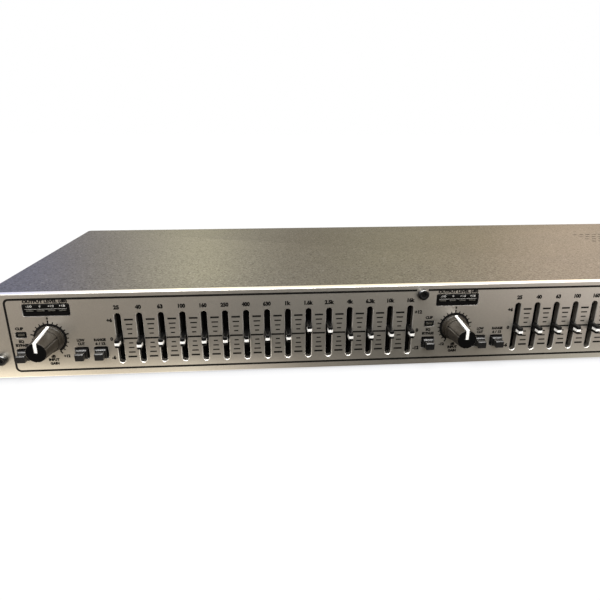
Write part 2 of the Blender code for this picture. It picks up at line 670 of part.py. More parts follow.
def build_inlet():
    inlet = flanged("mains_inlet",
                    round_rect(INLET_X, REAR_Z, INLET_W + 4.0, INLET_H + 4.2, 1.5, seg=2),
                    "inlet_body", rect(INLET_X, REAR_Z, INLET_W, INLET_H), depth=18)
    left, right = INLET_X - INLET_WELL_HALF_W, INLET_X + INLET_WELL_HALF_W
    bottom, top = REAR_Z - INLET_WELL_HALF_H, REAR_Z + INLET_WELL_HALF_H
    well = [(left, bottom), (right, bottom),
            (right, top - INLET_WELL_CUT), (right - INLET_WELL_CUT, top),
            (left + INLET_WELL_CUT, top), (left, top - INLET_WELL_CUT)]
    cut(inlet, "inlet_well", prism(bmesh.new(), "y", TRAY_BACK - 14.5, WELL_END, well))
    pins = bmesh.new()
    for x, z in INLET_PINS:
        block(pins, INLET_X + x, REAR_Z + z, 2.0, 4.0, TRAY_BACK - 15.5, TRAY_BACK - 1.5)
    join(inlet, "inlet_pins", pins)


SWITCH_WELL_W, SWITCH_WELL_H = SWITCH_W - 2.6, SWITCH_H - 2.6


def build_switch_housing():
    housing = flanged("power_switch_housing",
                      round_rect(SWITCH_X, REAR_Z, SWITCH_W + 3.2, SWITCH_H + 3.6, 1.0, seg=2),
                      "switch_body", rect(SWITCH_X, REAR_Z, SWITCH_W, SWITCH_H), depth=16)
    cut(housing, "switch_well",
        block(bmesh.new(), SWITCH_X, REAR_Z, SWITCH_WELL_W, SWITCH_WELL_H,
              TRAY_BACK - 9, WELL_END))


ROCKER_Y = TRAY_BACK - 1.0
ROCKER_TILT = math.radians(8.0)     # the top is tilted into the unit
ROCKER_HALF_W = SWITCH_WELL_W / 2 - 0.5
ROCKER_HALF_H = SWITCH_WELL_H / 2 - 0.9
# height, distance toward +Y, both from the pivot: a shallow roof over a tapering body
ROCKER_PROFILE = [
    (-ROCKER_HALF_H, 2.6), (-ROCKER_HALF_H, -1.8), (-4.5, -5.2), (4.5, -5.2),
    (ROCKER_HALF_H, -1.8), (ROCKER_HALF_H, 2.6), (0.0, 3.8)]


def build_rocker():
    cosine, sine = math.cos(ROCKER_TILT), math.sin(ROCKER_TILT)
    section = [(ROCKER_Y + out * cosine - height * sine, REAR_Z + height * cosine + out * sine)
               for height, out in ROCKER_PROFILE]
    finish("power_rocker",
           prism(bmesh.new(), "x", SWITCH_X - ROCKER_HALF_W, SWITCH_X + ROCKER_HALF_W, section),
           "black", origin=(SWITCH_X, ROCKER_Y, REAR_Z))


XLR_FLANGE_W, XLR_FLANGE_H = 26.0, 31.0
XLR_CUP_R = 9.2
XLR_CONTACT_CIRCLE_R = 4.1


def xlr_contacts(x, angles, y0, y1, radius, count):
    """Three tubes round the connector's axis; angles in degrees."""
    shape = bmesh.new()
    for angle in angles:
        tube(shape, x + XLR_CONTACT_CIRCLE_R * math.cos(math.radians(angle)),
             REAR_Z + XLR_CONTACT_CIRCLE_R * math.sin(math.radians(angle)),
             y0, y1, radius, count)
    return shape


def build_xlr(name, x, male):
    xlr = flanged(name, round_rect(x, REAR_Z, XLR_FLANGE_W, XLR_FLANGE_H, 2.5, seg=2),
                  name + "_shell", circle(x, REAR_Z, XLR_BODY_R, 24), depth=18.0, smooth=35)
    if male:
        cut(xlr, name + "_cup",
            tube(bmesh.new(), x, REAR_Z, TRAY_BACK - 12.0, WELL_END, XLR_CUP_R, 24))
        join(xlr, name + "_pins",
             xlr_contacts(x, (90, 210, 330), TRAY_BACK - 13.0, TRAY_BACK - 0.5, 1.2, 8))
    else:
        cut(xlr, name + "_sockets",
            xlr_contacts(x, (270, 30, 150), TRAY_BACK - 10.0, WELL_END, 1.5, 10))


# ---------------------------------------------------------------- build
for old in list(bpy.data.objects):
    bpy.data.objects.remove(old, do_unlink=True)

build_front_panel()
build_tray()
build_cover()
for screw in SCREWS:
    build_screw(*screw)
for build in (build_slider_board, build_lamps, build_faders, build_knob, build_buttons):
    for channel_name, channel_offset in CHANNELS:
        build(channel_name, channel_offset)
build_main_board()
build_ribbon()
build_transformer()
build_inlet()
build_switch_housing()
build_rocker()
for connector in XLR:
    build_xlr(*connector)
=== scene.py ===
"""Looks of a two-channel graphic equalizer: fine surfaces, finishes, printing, floor, light, camera.

The unit lies along X, its front panel faces -Y and its rear faces +Y. Z is up, with the floor just
below zero. Lengths are in millimetres and become metres in the helpers; materials, lights and
camera code say where they use metres.
"""
import math

import bmesh
import bpy
from mathutils import Matrix, Vector
from mathutils.geometry import delaunay_2d_cdt


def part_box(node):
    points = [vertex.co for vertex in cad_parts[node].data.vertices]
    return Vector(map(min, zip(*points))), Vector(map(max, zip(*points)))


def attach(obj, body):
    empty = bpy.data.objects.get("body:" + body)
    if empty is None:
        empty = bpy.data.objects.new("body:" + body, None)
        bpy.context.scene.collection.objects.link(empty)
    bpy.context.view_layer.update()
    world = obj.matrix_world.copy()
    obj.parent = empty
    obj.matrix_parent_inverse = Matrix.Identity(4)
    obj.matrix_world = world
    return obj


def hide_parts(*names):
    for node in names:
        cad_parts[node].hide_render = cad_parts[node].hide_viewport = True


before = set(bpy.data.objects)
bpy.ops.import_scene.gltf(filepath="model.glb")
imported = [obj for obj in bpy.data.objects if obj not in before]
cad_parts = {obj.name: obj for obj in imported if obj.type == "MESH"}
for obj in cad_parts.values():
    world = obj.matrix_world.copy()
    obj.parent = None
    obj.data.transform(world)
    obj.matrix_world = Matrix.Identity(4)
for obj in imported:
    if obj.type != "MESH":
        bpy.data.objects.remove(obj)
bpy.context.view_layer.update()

MM = 0.001
scene = bpy.context.scene


# ------------------------------------------------------------------ outlines (2D, mm)
def arc(cx, cy, radius, start, sweep, segments):
    """Points on an arc. start and sweep are in degrees, anticlockwise."""
    angles = [math.radians(start + sweep * i / segments) for i in range(segments + 1)]
    return [(cx + radius * math.cos(a), cy + radius * math.sin(a)) for a in angles]


def round_rect(cx, cy, width, height, radius, segments=3):
    radius = max(min(radius, width / 2 - 1e-3, height / 2 - 1e-3), 1e-3)
    points = []
    for side_x, side_y, start in ((1, -1, -90), (1, 1, 0), (-1, 1, 90), (-1, -1, 180)):
        points += arc(cx + side_x * (width / 2 - radius), cy + side_y * (height / 2 - radius),
                      radius, start, 90, segments)
    return points


def stadium(cx, cy, width, height, segments):
    """A slot with half-round ends, along its longer side."""
    run = abs(height - width) / 2
    points = []
    for end, start in ((1, 0), (-1, 180)):
        points += arc(0, end * run, min(width, height) / 2, start, 180, segments)
    if height >= width:
        return [(cx + x, cy + y) for x, y in points]
    return [(cx + y, cy - x) for x, y in points]


def circle(cx, cy, radius, count):
    angles = [2 * math.pi * i / count for i in range(count)]
    return [(cx + radius * math.cos(a), cy + radius * math.sin(a)) for a in angles]


def hexagon(cx, cy, flat_radius, count=48):
    """A hexagon with as many points as a circle, so that the two can be skinned together."""
    points = []
    for i in range(count):
        degrees = 360 * i / count
        radius = flat_radius / math.cos(math.radians(degrees % 60 - 30))
        angle = math.radians(degrees)
        points.append((cx + radius * math.cos(angle), cy + radius * math.sin(angle)))
    return points


# ------------------------------------------------------------------ placing outlines (metres out)
def point(x, y, z):
    return Vector((x * MM, y * MM, z * MM))


def at_x(outline, x):
    return [point(x, y, z) for y, z in outline]


def at_y(outline, y):
    return [point(x, y, z) for x, z in outline]


def at_z(outline, z):
    return [point(x, y, z) for x, y in outline]


# ------------------------------------------------------------------ solids
def new_ring(shape, points):
    return [shape.verts.new(p) for p in points]


def skin(shape, ring, other):
    for i in range(len(ring)):
        j = (i + 1) % len(ring)
        shape.faces.new((ring[i], ring[j], other[j], other[i]))


def inside(x, y, loop):
    odd = False
    for (x0, y0), (x1, y1) in zip(loop, loop[1:] + loop[:1]):
        if (y0 > y) != (y1 > y) and x < x0 + (y - y0) * (x1 - x0) / (y1 - y0):
            odd = not odd
    return odd


def cap_triangles(loops):
    """Triangles that fill the first loop and leave the others open."""
    points, edges = [], []
    for loop in loops:
        start = len(points)
        points += [Vector(p) for p in loop]
        edges += [(start + i, start + (i + 1) % len(loop)) for i in range(len(loop))]
    corners, _, faces, origin, _, _ = delaunay_2d_cdt(points, edges, [], 1, 1e-7)
    kept = []
    for face in faces:
        x = sum(corners[i][0] for i in face) / 3
        y = sum(corners[i][1] for i in face) / 3
        if not any(inside(x, y, hole) for hole in loops[1:]):
            kept.append([origin[i][0] for i in face])
    return kept


def add_cap(shape, rings, loops):
    verts = [vert for ring in rings for vert in ring]
    if len(loops) == 1:
        shape.faces.new(verts)
        return
    for triangle in cap_triangles(loops):
        shape.faces.new([verts[i] for i in triangle])


def skin_levels(shape, levels):
    rings = [new_ring(shape, level) for level in levels]
    for ring, other in zip(rings, rings[1:]):
        skin(shape, ring, other)
    return rings


def add_loops(shape, levels):
    """A solid skinned over rings of points and closed at both ends."""
    rings = skin_levels(shape, levels)
    shape.faces.new(rings[0][::-1])
    shape.faces.new(rings[-1])


def add_prism(shape, outer, place, low, high, holes=()):
    """Extrude an outline from low to high. place is at_x, at_y or at_z."""
    loops = [outer, *holes]
    lows = [new_ring(shape, place(loop, low)) for loop in loops]
    highs = [new_ring(shape, place(loop, high)) for loop in loops]
    for ring, other in zip(lows, highs):
        skin(shape, ring, other)
    add_cap(shape, lows, loops)
    add_cap(shape, highs, loops)


def around(centre, half):
    return centre - half, centre + half


def add_box(shape, x_ends, y_ends, z_ends):
    (x0, x1), (z0, z1) = x_ends, z_ends
    add_prism(shape, [(x0, z0), (x1, z0), (x1, z1), (x0, z1)], at_y, *y_ends)


def merge(shape, other):
    mesh = bpy.data.meshes.new("tmp_merge")
    other.to_mesh(mesh)
    other.free()
    shape.from_mesh(mesh)
    bpy.data.meshes.remove(mesh)


def add_round_box(shape, x_ends, y_ends, z_ends, radius):
    box = bmesh.new()
    add_box(box, x_ends, y_ends, z_ends)
    bmesh.ops.recalc_face_normals(box, faces=box.faces[:])
    bmesh.ops.bevel(box, geom=box.edges[:], offset=radius * MM, segments=3, affect="EDGES",
                    profile=0.5, clamp_overlap=True)
    merge(shape, box)


# ------------------------------------------------------------------ objects
def shade(mesh, angle):
    """Smooth shading, broken at edges sharper than the angle in degrees."""
    mesh.shade_smooth()
    mesh.set_sharp_from_angle(angle=math.radians(angle))


def to_mesh(name, shape, smooth=None):
    bmesh.ops.recalc_face_normals(shape, faces=shape.faces[:])
    mesh = bpy.data.meshes.new(name)
    shape.to_mesh(mesh)
    shape.free()
    if smooth:
        shade(mesh, smooth)
    return mesh


def add_object(name, data):
    obj = bpy.data.objects.new(name, data)
    scene.collection.objects.link(obj)
    return obj


def make(name, shape, material, body="root", smooth=40, replaces=None):
    obj = add_object(name, to_mesh(name, shape, smooth))
    obj.data.materials.append(material)
    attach(obj, body)
    if replaces:
        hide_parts(replaces)
    return obj


def cut(obj, shape, smooth=35):
    """Take a shape out of an object and keep only the result."""
    helper = add_object("helper", to_mesh("helper", shape))
    helper_mesh = helper.data
    modifier = obj.modifiers.new("cut", "BOOLEAN")
    modifier.operation = "DIFFERENCE"
    modifier.solver = "EXACT"
    modifier.object = helper
    graph = bpy.context.evaluated_depsgraph_get()
    result = bpy.data.meshes.new_from_object(obj.evaluated_get(graph))
    obj.modifiers.clear()
    old, name = obj.data, obj.data.name
    obj.data = result
    bpy.data.meshes.remove(old)
    result.name = name
    bpy.data.objects.remove(helper)
    bpy.data.meshes.remove(helper_mesh)
    shade(result, smooth)


# ------------------------------------------------------------------ node builders
class Nodes:
    """Adds nodes to one tree. An input may be an output to link, a number or an RGB colour."""

    def __init__(self, tree, coordinate):
        self.tree = tree
        self.coord = self.node("ShaderNodeTexCoord").outputs[coordinate]

    def feed(self, socket, value):
        if isinstance(value, bpy.types.NodeSocket):
            self.tree.links.new(value, socket)
        else:
            socket.default_value = (*value, 1.0) if isinstance(value, tuple) else value

    def fill(self, node, inputs):
        for name, value in inputs.items():
            self.feed(node.inputs[name.replace("_", " ")], value)

    def node(self, kind, **inputs):
        node = self.tree.nodes.new(kind)
        self.fill(node, inputs)
        return node

    def noise(self, scale, detail=3.0, rough=0.55):
        node = self.node("ShaderNodeTexNoise", Scale=scale, Detail=detail, Roughness=rough,
                         Vector=self.coord)
        return node.outputs["Fac"]

    def bands(self, direction, scale):
        wave = self.node("ShaderNodeTexWave", Scale=scale, Vector=self.coord)
        wave.wave_type = "BANDS"
        wave.bands_direction = direction
        return wave.outputs["Fac"]

    def ramp(self, factor, stops):
        """stops are (position, colour). A colour given as one number is a grey."""
        node = self.node("ShaderNodeValToRGB", Fac=factor)
        elements = node.color_ramp.elements
        while len(elements) < len(stops):
            elements.new(0.5)
        for element, (position, colour) in zip(elements, stops):
            element.position = position
            element.color = (*(colour if isinstance(colour, tuple) else (colour,) * 3), 1.0)
        return node.outputs["Color"]

    def tones(self, factor, first, second):
        return self.ramp(factor, [(0.3, first), (0.7, second)])

    def remap(self, value, low, high, start=0.3, end=0.7):
        """Map start..end onto low..high."""
        node = self.node("ShaderNodeMapRange", From_Min=start, From_Max=end, To_Min=low,
                         To_Max=high, Value=value)
        return node.outputs["Result"]

    def math(self, operation, *values):
        node = self.node("ShaderNodeMath")
        node.operation = operation
        for socket, value in zip(node.inputs, values):
            self.feed(socket, value)
        return node.outputs[0]

    def mix(self, factor, first, second, blend="MIX"):
        node = self.node("ShaderNodeMix")
        node.data_type = "RGBA"
        node.blend_type = blend
        # inputs 6 and 7 are the two colours
        for index, value in ((0, factor), (6, first), (7, second)):
            self.feed(node.inputs[index], value)
        return node.outputs[2]

    def split(self, vector):
        return self.node("ShaderNodeSeparateXYZ", Vector=vector).outputs

    def end_by_ray(self, output, unseen, seen):
        """Give the camera one shader and every other ray another."""
        path = self.node("ShaderNodeLightPath")
        choose = self.node("ShaderNodeMixShader")
        sources = path.outputs["Is Camera Ray"], unseen.outputs[0], seen.outputs[0]
        for socket, source in zip(choose.inputs, sources):
            self.feed(socket, source)
        self.feed(output.inputs["Surface"], choose.outputs[0])


class Look(Nodes):
    """A material. Coordinates are the object's own, in metres."""

    def __init__(self, name):
        self.material = bpy.data.materials.new(name)
        self.material.use_nodes = True
        super().__init__(self.material.node_tree, "Object")
        self.bsdf = self.tree.nodes["Principled BSDF"]

    def bump(self, height, strength, depth):
        """depth is in mm."""
        node = self.node("ShaderNodeBump", Strength=strength, Distance=depth * MM, Height=height)
        self.feed(self.bsdf.inputs["Normal"], node.outputs["Normal"])

    def edge_wear(self, radius):
        """1 on sharp edges, 0 elsewhere. radius is in mm."""
        bevel = self.node("ShaderNodeBevel", Radius=radius * MM)
        bevel.samples = 4
        geometry = self.node("ShaderNodeNewGeometry")
        dot = self.node("ShaderNodeVectorMath")
        dot.operation = "DOT_PRODUCT"
        self.feed(dot.inputs[0], bevel.outputs["Normal"])
        self.feed(dot.inputs[1], geometry.outputs["Normal"])
        return self.remap(dot.outputs["Value"], low=0.0, high=1.0, start=0.995, end=0.9)

    def occlusion(self, samples, distance):
        """distance is in metres."""
        node = self.node("ShaderNodeAmbientOcclusion", Distance=distance)
        node.samples = samples
        return node

    def finish(self, **inputs):
        self.fill(self.bsdf, inputs)
        return self.material


# ------------------------------------------------------------------ materials
def panel_look():
    look = Look("satin_panel")
    window_foot, window_head = 0.0165, 0.0425  # heights that bound the sills, metres
    face_y = -0.0841  # just behind the panel face, metres
    grain = look.noise(scale=2600, detail=4, rough=0.7)
    cloud = look.noise(scale=14, detail=3, rough=0.5)
    base = look.tones(cloud, (0.500, 0.474, 0.428), (0.535, 0.508, 0.460))
    fleck = look.ramp(grain, [(0.30, 0.90), (0.52, 1.0), (0.74, (1.12, 1.11, 1.10))])
    colour = look.mix(1.0, base, fleck, "MULTIPLY")
    geometry = look.node("ShaderNodeNewGeometry")
    facing = look.split(geometry.outputs["Normal"])
    where = look.split(geometry.outputs["Position"])
    # painted highlight: faces looking up along the upper edge are made paler
    painted_top_highlight = look.math("MULTIPLY",
                         look.remap(facing["Z"], low=0.0, high=1.0, start=0.15, end=0.6),
                         look.math("GREATER_THAN", where["Z"], window_head))
    colour = look.mix(painted_top_highlight, colour, (0.93, 0.915, 0.89))
    # painted highlight: the eased rims of the openings are made paler
    slant = look.remap(look.math("ABSOLUTE", facing["Y"]), low=1.0, high=0.0, start=0.86, end=0.97)
    rim = look.math("MULTIPLY", look.math("LESS_THAN", where["Y"], face_y), slant)
    colour = look.mix(rim, colour, (0.95, 0.93, 0.89))
    # the sills of the lamp windows sit in the shade of their frames
    between = look.math("MULTIPLY", look.math("GREATER_THAN", where["Z"], window_foot),
                        look.math("LESS_THAN", where["Z"], window_head))
    sill = look.math("MULTIPLY",
                     look.remap(facing["Z"], low=0.0, high=1.0, start=0.2, end=0.5), between)
    colour = look.mix(sill, colour, (0.22, 0.21, 0.20))
    look.bump(grain, strength=0.16, depth=0.03)
    return look.finish(Base_Color=colour, Roughness=look.remap(grain, low=0.33, high=0.47),
                       Metallic=0.90)


def cover_look():
    """Dark textured paint with sparse pale flecks painted in as glints."""
    look = Look("textured_paint")
    grain = look.noise(scale=900, detail=5, rough=0.8)
    cloud = look.noise(scale=9, detail=4, rough=0.6)
    cells = look.node("ShaderNodeTexVoronoi", Scale=420, Vector=look.coord)
    painted_glint_cells = look.ramp(cells.outputs["Distance"], [(0.0, 1.0), (0.13, 0.5), (0.22, 0.0)])
    base = look.ramp(cloud, [(0.25, (0.040, 0.0385, 0.036)), (0.75, (0.050, 0.048, 0.045))])
    tone = look.tones(grain, 0.55, 1.45)
    colour = look.mix(1.0, base, tone, "MULTIPLY")
    rare = look.noise(scale=95, detail=1, rough=0.5)
    painted_glints = look.math("MULTIPLY", painted_glint_cells,
                       look.remap(rare, low=0.20, high=0.75, start=0.40, end=0.60))
    # painted glints: sparse pale flecks mixed into the paint colour
    colour = look.mix(painted_glints, colour, (0.34, 0.33, 0.31))
    look.bump(grain, strength=0.45, depth=0.08)
    shine = look.math("ADD", look.remap(grain, low=0.05, high=1.15, start=0.38, end=0.62),
                      look.math("MULTIPLY", painted_glints, 0.5))
    return look.finish(Base_Color=colour, Roughness=look.remap(cloud, low=0.32, high=0.40),
                       Specular_IOR_Level=shine)


def tray_look():
    look = Look("powder_coat")
    grain = look.noise(scale=1300, detail=4, rough=0.7)
    colour = look.tones(grain, (0.030, 0.030, 0.031), (0.052, 0.052, 0.054))
    look.bump(grain, strength=0.35, depth=0.06)
    return look.finish(Base_Color=colour, Roughness=look.remap(grain, low=0.42, high=0.6),
                       Metallic=0.1)


def black_plastic(name, tone, rough, grain_scale=2200, bump=0.0, wear=0.0, specular=0.5,
                  upper=None):
    """wear is how pale the edges get; upper is the specular level on slopes that look upwards."""
    look = Look(name)
    grain = look.noise(scale=grain_scale, detail=3, rough=0.6)
    cloud = look.noise(scale=60, detail=2, rough=0.5)
    dark, light = tone * 0.8, tone * 1.35
    colour = look.tones(cloud, (dark, dark, dark * 1.04), (light, light, light * 1.04))
    if wear:
        edge = look.edge_wear(radius=0.22)
        patches = look.noise(scale=700, detail=2, rough=0.5)
        worn = look.math("MULTIPLY", edge, look.remap(patches, low=0.1, high=wear))
        colour = look.mix(worn, colour, (0.11, 0.108, 0.104))
    if bump:
        look.bump(grain, strength=bump, depth=0.02)
    if upper:
        geometry = look.node("ShaderNodeNewGeometry")
        upward = look.split(geometry.outputs["Normal"])["Z"]
        slope = look.math("MULTIPLY",
                          look.remap(upward, low=0.0, high=1.0, start=0.25, end=0.6),
                          look.remap(upward, low=1.0, high=0.0, start=0.84, end=0.96))
        specular = look.remap(slope, low=specular, high=upper, start=0.0, end=1.0)
    return look.finish(Base_Color=colour,
                       Roughness=look.remap(grain, low=rough - 0.05, high=rough + 0.08),
                       Specular_IOR_Level=specular, Coat_Roughness=0.22)


def knob_look():
    look = Look("knob_charcoal")
    grain = look.noise(scale=2400, detail=3, rough=0.6)
    cloud = look.noise(scale=80, detail=2, rough=0.5)
    colour = look.tones(cloud, (0.029, 0.0240, 0.0180), (0.038, 0.0320, 0.0245))
    worn = look.math("MULTIPLY", look.edge_wear(radius=0.3), 0.2)
    colour = look.mix(worn, colour, (0.10, 0.098, 0.092))
    # painted shade: the colour goes dark in the grooves, where occlusion is found
    hollow = look.occlusion(samples=8, distance=0.0012)
    hollow.only_local = True
    painted_groove_shade = look.ramp(hollow.outputs["AO"], [(0.55, 0.12), (0.92, 1.0)])
    colour = look.mix(1.0, colour, painted_groove_shade, "MULTIPLY")
    look.bump(grain, strength=0.2, depth=0.02)
    return look.finish(Base_Color=colour, Roughness=look.remap(grain, low=0.26, high=0.36),
                       Specular_IOR_Level=0.45)


def paint_look(name, colour, rough, specular=0.5):
    look = Look(name)
    grain = look.noise(scale=900, detail=3, rough=0.6)
    mottled = look.tones(grain, tuple(part * 0.9 for part in colour), colour)
    look.bump(grain, strength=0.1, depth=0.01)
    return look.finish(Base_Color=mottled, Specular_IOR_Level=specular,
                       Roughness=look.remap(grain, low=rough - 0.06, high=rough + 0.06))


def window_look():
    look = Look("meter_window")
    black, rough = 0.003, 0.3
    cloud = look.noise(scale=300, detail=2, rough=0.5)
    return look.finish(Base_Color=look.tones(cloud, black * 0.85, black),
                       Roughness=look.remap(cloud, low=rough * 0.7, high=rough * 1.5),
                       Specular_IOR_Level=0.1)


def lens_look():
    """Smoked lamp lens: a dark window with faint vertical ribs behind it."""
    look = Look("smoked_lens")
    colour = look.ramp(look.bands("X", scale=600),
                       [(0.2, (0.030, 0.029, 0.024)), (0.8, (0.075, 0.072, 0.060))])
    return look.finish(Base_Color=colour,
                       Roughness=look.remap(look.noise(scale=400), low=0.16, high=0.26),
                       Coat_Weight=0.3, Coat_Roughness=0.05)


def metal_look(name, colour, rough):
    look = Look(name)
    grain = look.noise(scale=1400, detail=3, rough=0.6)
    mottled = look.tones(grain, tuple(part * 0.82 for part in colour), colour)
    look.bump(grain, strength=0.12, depth=0.02)
    return look.finish(Base_Color=mottled, Metallic=1.0,
                       Roughness=look.remap(grain, low=rough - 0.08, high=rough + 0.12))


def board_look(name, black_before_y=None):
    """Green board with fine tracks. What is black on it is told by place, in metres: all that is
    in front of black_before_y or, without that, all that stands above the board."""
    look = Look(name)
    where = look.split(look.coord)
    tracks = look.node("ShaderNodeTexBrick", Scale=140, Mortar_Size=0.09,
                       Color1=(0.012, 0.085, 0.030), Color2=(0.016, 0.105, 0.038),
                       Mortar=(0.035, 0.190, 0.070), Vector=look.coord)
    grain = look.noise(scale=500, detail=3)
    if black_before_y is not None:
        part = look.math("LESS_THAN", where["Y"], black_before_y)
        black = look.tones(grain, 0.003, 0.007)
        shine = look.remap(part, low=0.5, high=0.12, start=0.0, end=1.0)
    else:
        part = look.math("GREATER_THAN", where["Z"], 0.0059)
        black = look.tones(grain, (0.018, 0.018, 0.020), (0.035, 0.035, 0.038))
        shine = 0.5
    colour = look.mix(part, tracks.outputs["Color"], black)
    look.bump(grain, strength=0.1, depth=0.03)
    return look.finish(Base_Color=colour, Roughness=look.remap(grain, low=0.35, high=0.55),
                       Specular_IOR_Level=shine)


def transformer_look():
    look = Look("laminations")
    sheets = look.bands("Y", scale=320)
    colour = look.ramp(sheets, [(0.15, (0.10, 0.10, 0.105)), (0.6, (0.36, 0.36, 0.37))])
    look.bump(sheets, strength=0.4, depth=0.1)
    return look.finish(Base_Color=colour, Metallic=0.9,
                       Roughness=look.remap(look.noise(scale=600), low=0.35, high=0.5))


def ribbon_look():
    look = Look("flat_cable")
    wires = look.bands("X", scale=250)
    colour = look.ramp(wires, [(0.2, (0.22, 0.22, 0.23)), (0.7, (0.46, 0.46, 0.47))])
    look.bump(wires, strength=0.5, depth=0.2)
    return look.finish(Base_Color=colour,
                       Roughness=look.remap(look.noise(scale=500), low=0.45, high=0.6))


PANEL_METAL = panel_look()
COVER_PAINT = cover_look()
TRAY_COAT = tray_look()
CAP_BLACK = black_plastic("fader_black", tone=0.0035, rough=0.30, bump=0.10, wear=0.10,
                          specular=0.22)
BUTTON_BLACK = black_plastic("button_black", tone=0.008, rough=0.30, specular=0.34, upper=1.6)
KNOB_CHARCOAL = knob_look()
KNOB_INLAY = black_plastic("knob_top", tone=0.002, rough=0.6, bump=0.1, specular=0.06)
MOULDED_BLACK = black_plastic("moulded_black", tone=0.014, rough=0.42, grain_scale=1500,
                              bump=0.3, wear=0.25)
WINDOW = window_look()
LENS = lens_look()
INK = paint_look("black_ink", (0.0035, 0.0033, 0.0032), rough=0.6, specular=0.15)
PALE_INK = paint_look("pale_ink", (0.62, 0.61, 0.59), rough=0.5)
# painted highlight colour for the strip over the meter lamps
BAR_HIGHLIGHT_PAINT = paint_look("bar_highlight_paint", (0.30, 0.295, 0.285), rough=0.5)
POINTER_WHITE = paint_look("white_pointer", (0.96, 0.96, 0.945), rough=0.35)
SCREW_BLACK = black_plastic("black_screw", tone=0.006, rough=0.26, grain_scale=1500, wear=0.15,
                            specular=0.3, upper=3.2)
NICKEL = metal_look("nickel", (0.58, 0.57, 0.55), rough=0.3)
CONTACT_METAL = metal_look("contact_metal", (0.70, 0.60, 0.38), rough=0.25)
BOARD = board_look("circuit_board")
SLIDER_BOARD = board_look("slider_board", black_before_y=-0.0712)
LAMINATIONS = transformer_look()
FLAT_CABLE = ribbon_look()

# ------------------------------------------------------------------ CAD nodes that stay as they are
KEPT_NODES = {
    TRAY_COAT: ["chassis_tray"],
    SLIDER_BOARD: ["ch1_slider_board", "ch2_slider_board"],
    BOARD: ["main_board"],
    LAMINATIONS: ["power_transformer"],
    FLAT_CABLE: ["ribbon_cable"],
    MOULDED_BLACK: ["mains_inlet", "power_switch_housing", "power_rocker", "ch1_input_xlr",
                    "ch1_output_xlr", "ch2_input_xlr", "ch2_output_xlr"],
}
for material, nodes in KEPT_NODES.items():
    for node in nodes:
        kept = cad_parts[node]
        if not kept.data.materials:
            kept.data.materials.append(material)
        for material_slot in kept.material_slots:
            material_slot.material = material


# ------------------------------------------------------------------ positions from the CAD
class Bounds:
    """The box round a CAD node, in mm."""

    def __init__(self, node):
        low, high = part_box(node)
        self.left, self.front, self.bottom = [value / MM for value in low]
        self.right, self.back, self.top = [value / MM for value in high]
        self.x = (self.left + self.right) / 2
        self.z = (self.bottom + self.top) / 2
        self.width = self.right - self.left
        self.height = self.top - self.bottom


BANDS = ["25", "40", "63", "100", "160", "250", "400", "630",
         "1k", "1k6", "2k5", "4k", "6k3", "10k", "16k"]
LABELS = ["25", "40", "63", "100", "160", "250", "400", "630",
          "1k", "1.6k", "2.5k", "4k", "6.3k", "10k", "16k"]


class Channel:
    def __init__(self, name):
        self.faders = {f"{name}_fader_{band}": Bounds(f"{name}_fader_{band}") for band in BANDS}
        self.fader_xs = [fader.x for fader in self.faders.values()]
        self.knob = Bounds(name + "_gain_knob")
        self.meter = Bounds(name + "_level_meter")
        self.clip = Bounds(name + "_clip_lamp")
        self.buttons = {use: Bounds(f"{name}_{use}_button")
                        for use in ("eq_bypass", "low_cut", "range")}


CHANNELS = {name: Channel(name) for name in ("ch1", "ch2")}
SCREWS = {side: Bounds("panel_screw_" + side) for side in ("centre", "left", "right")}
PANEL = Bounds("front_panel")
FRONT_Y = PANEL.front
MID_Z = PANEL.z


def from_mid(height):
    return MID_Z + height


# ------------------------------------------------------------------ front panel plate
EDGE_R = 0.5          # rounding of the front edge
FACE_MARGIN = 0.45    # from the rounding to the outline of the flat face
PANEL_CORNER_R = 1.5
BACK_EASE = 0.3
EAR_INNER_X, BACK_RECESS = 218.0, 0.5  # the back is recessed between the rack ears
SLOT_W, SLOT_LOW, SLOT_HIGH = 3.1, -15.7, 11.1  # fader slots, heights from mid panel
RACK_SLOT_X, RACK_SLOT_Z, RACK_SLOT_W, RACK_SLOT_H = 232.55, 15.875, 10.0, 6.8


def chamfered(chamfer, outline, x, z, *size):
    """(outline at the face, outline of the wall, chamfer) for a slot, rectangle or circle."""
    if outline is stadium:
        width, height = size
        grown = [stadium(x, z, width + 2 * grow, height + 2 * grow, 8) for grow in (chamfer, 0)]
    elif outline is round_rect:
        width, height, radius = size
        grown = [round_rect(x, z, width + 2 * grow, height + 2 * grow, radius + grow)
                 for grow in (chamfer, 0)]
    else:
        radius, count = size
        grown = [circle(x, z, radius + grow, count) for grow in (chamfer, 0)]
    return *grown, chamfer


def panel_holes():
    holes = []
    for channel in CHANNELS.values():
        knob, meter, clip = channel.knob, channel.meter, channel.clip
        for x in channel.fader_xs:
            holes.append(chamfered(0.28, stadium, x, from_mid((SLOT_LOW + SLOT_HIGH) / 2),
                                   SLOT_W, SLOT_HIGH - SLOT_LOW))
        holes.append(chamfered(0.15, circle, knob.x, knob.z, 3.7, 32))
        for button in channel.buttons.values():
            holes.append(chamfered(0.22, round_rect, button.x, button.z, 6.7, 6.3, 0.5))
        holes.append(chamfered(0.2, round_rect, meter.x, meter.z, 22.1, 6.2, 0.8))
        holes.append(chamfered(0.2, round_rect, clip.x, clip.z, 5.1, 3.0, 0.4))
    for screw in SCREWS.values():
        holes.append(chamfered(0.1, circle, screw.x, screw.z, 1.8, 20))
    for side_x in (-1, 1):
        for side_z in (-1, 1):
            holes.append(chamfered(0.25, stadium, side_x * RACK_SLOT_X,
                                   from_mid(side_z * RACK_SLOT_Z), RACK_SLOT_W, RACK_SLOT_H))
    return holes


def panel_outline(inset, radius):
    return round_rect(0, MID_Z, PANEL.width - 2 * inset, PANEL.height - 2 * inset, radius, 4)


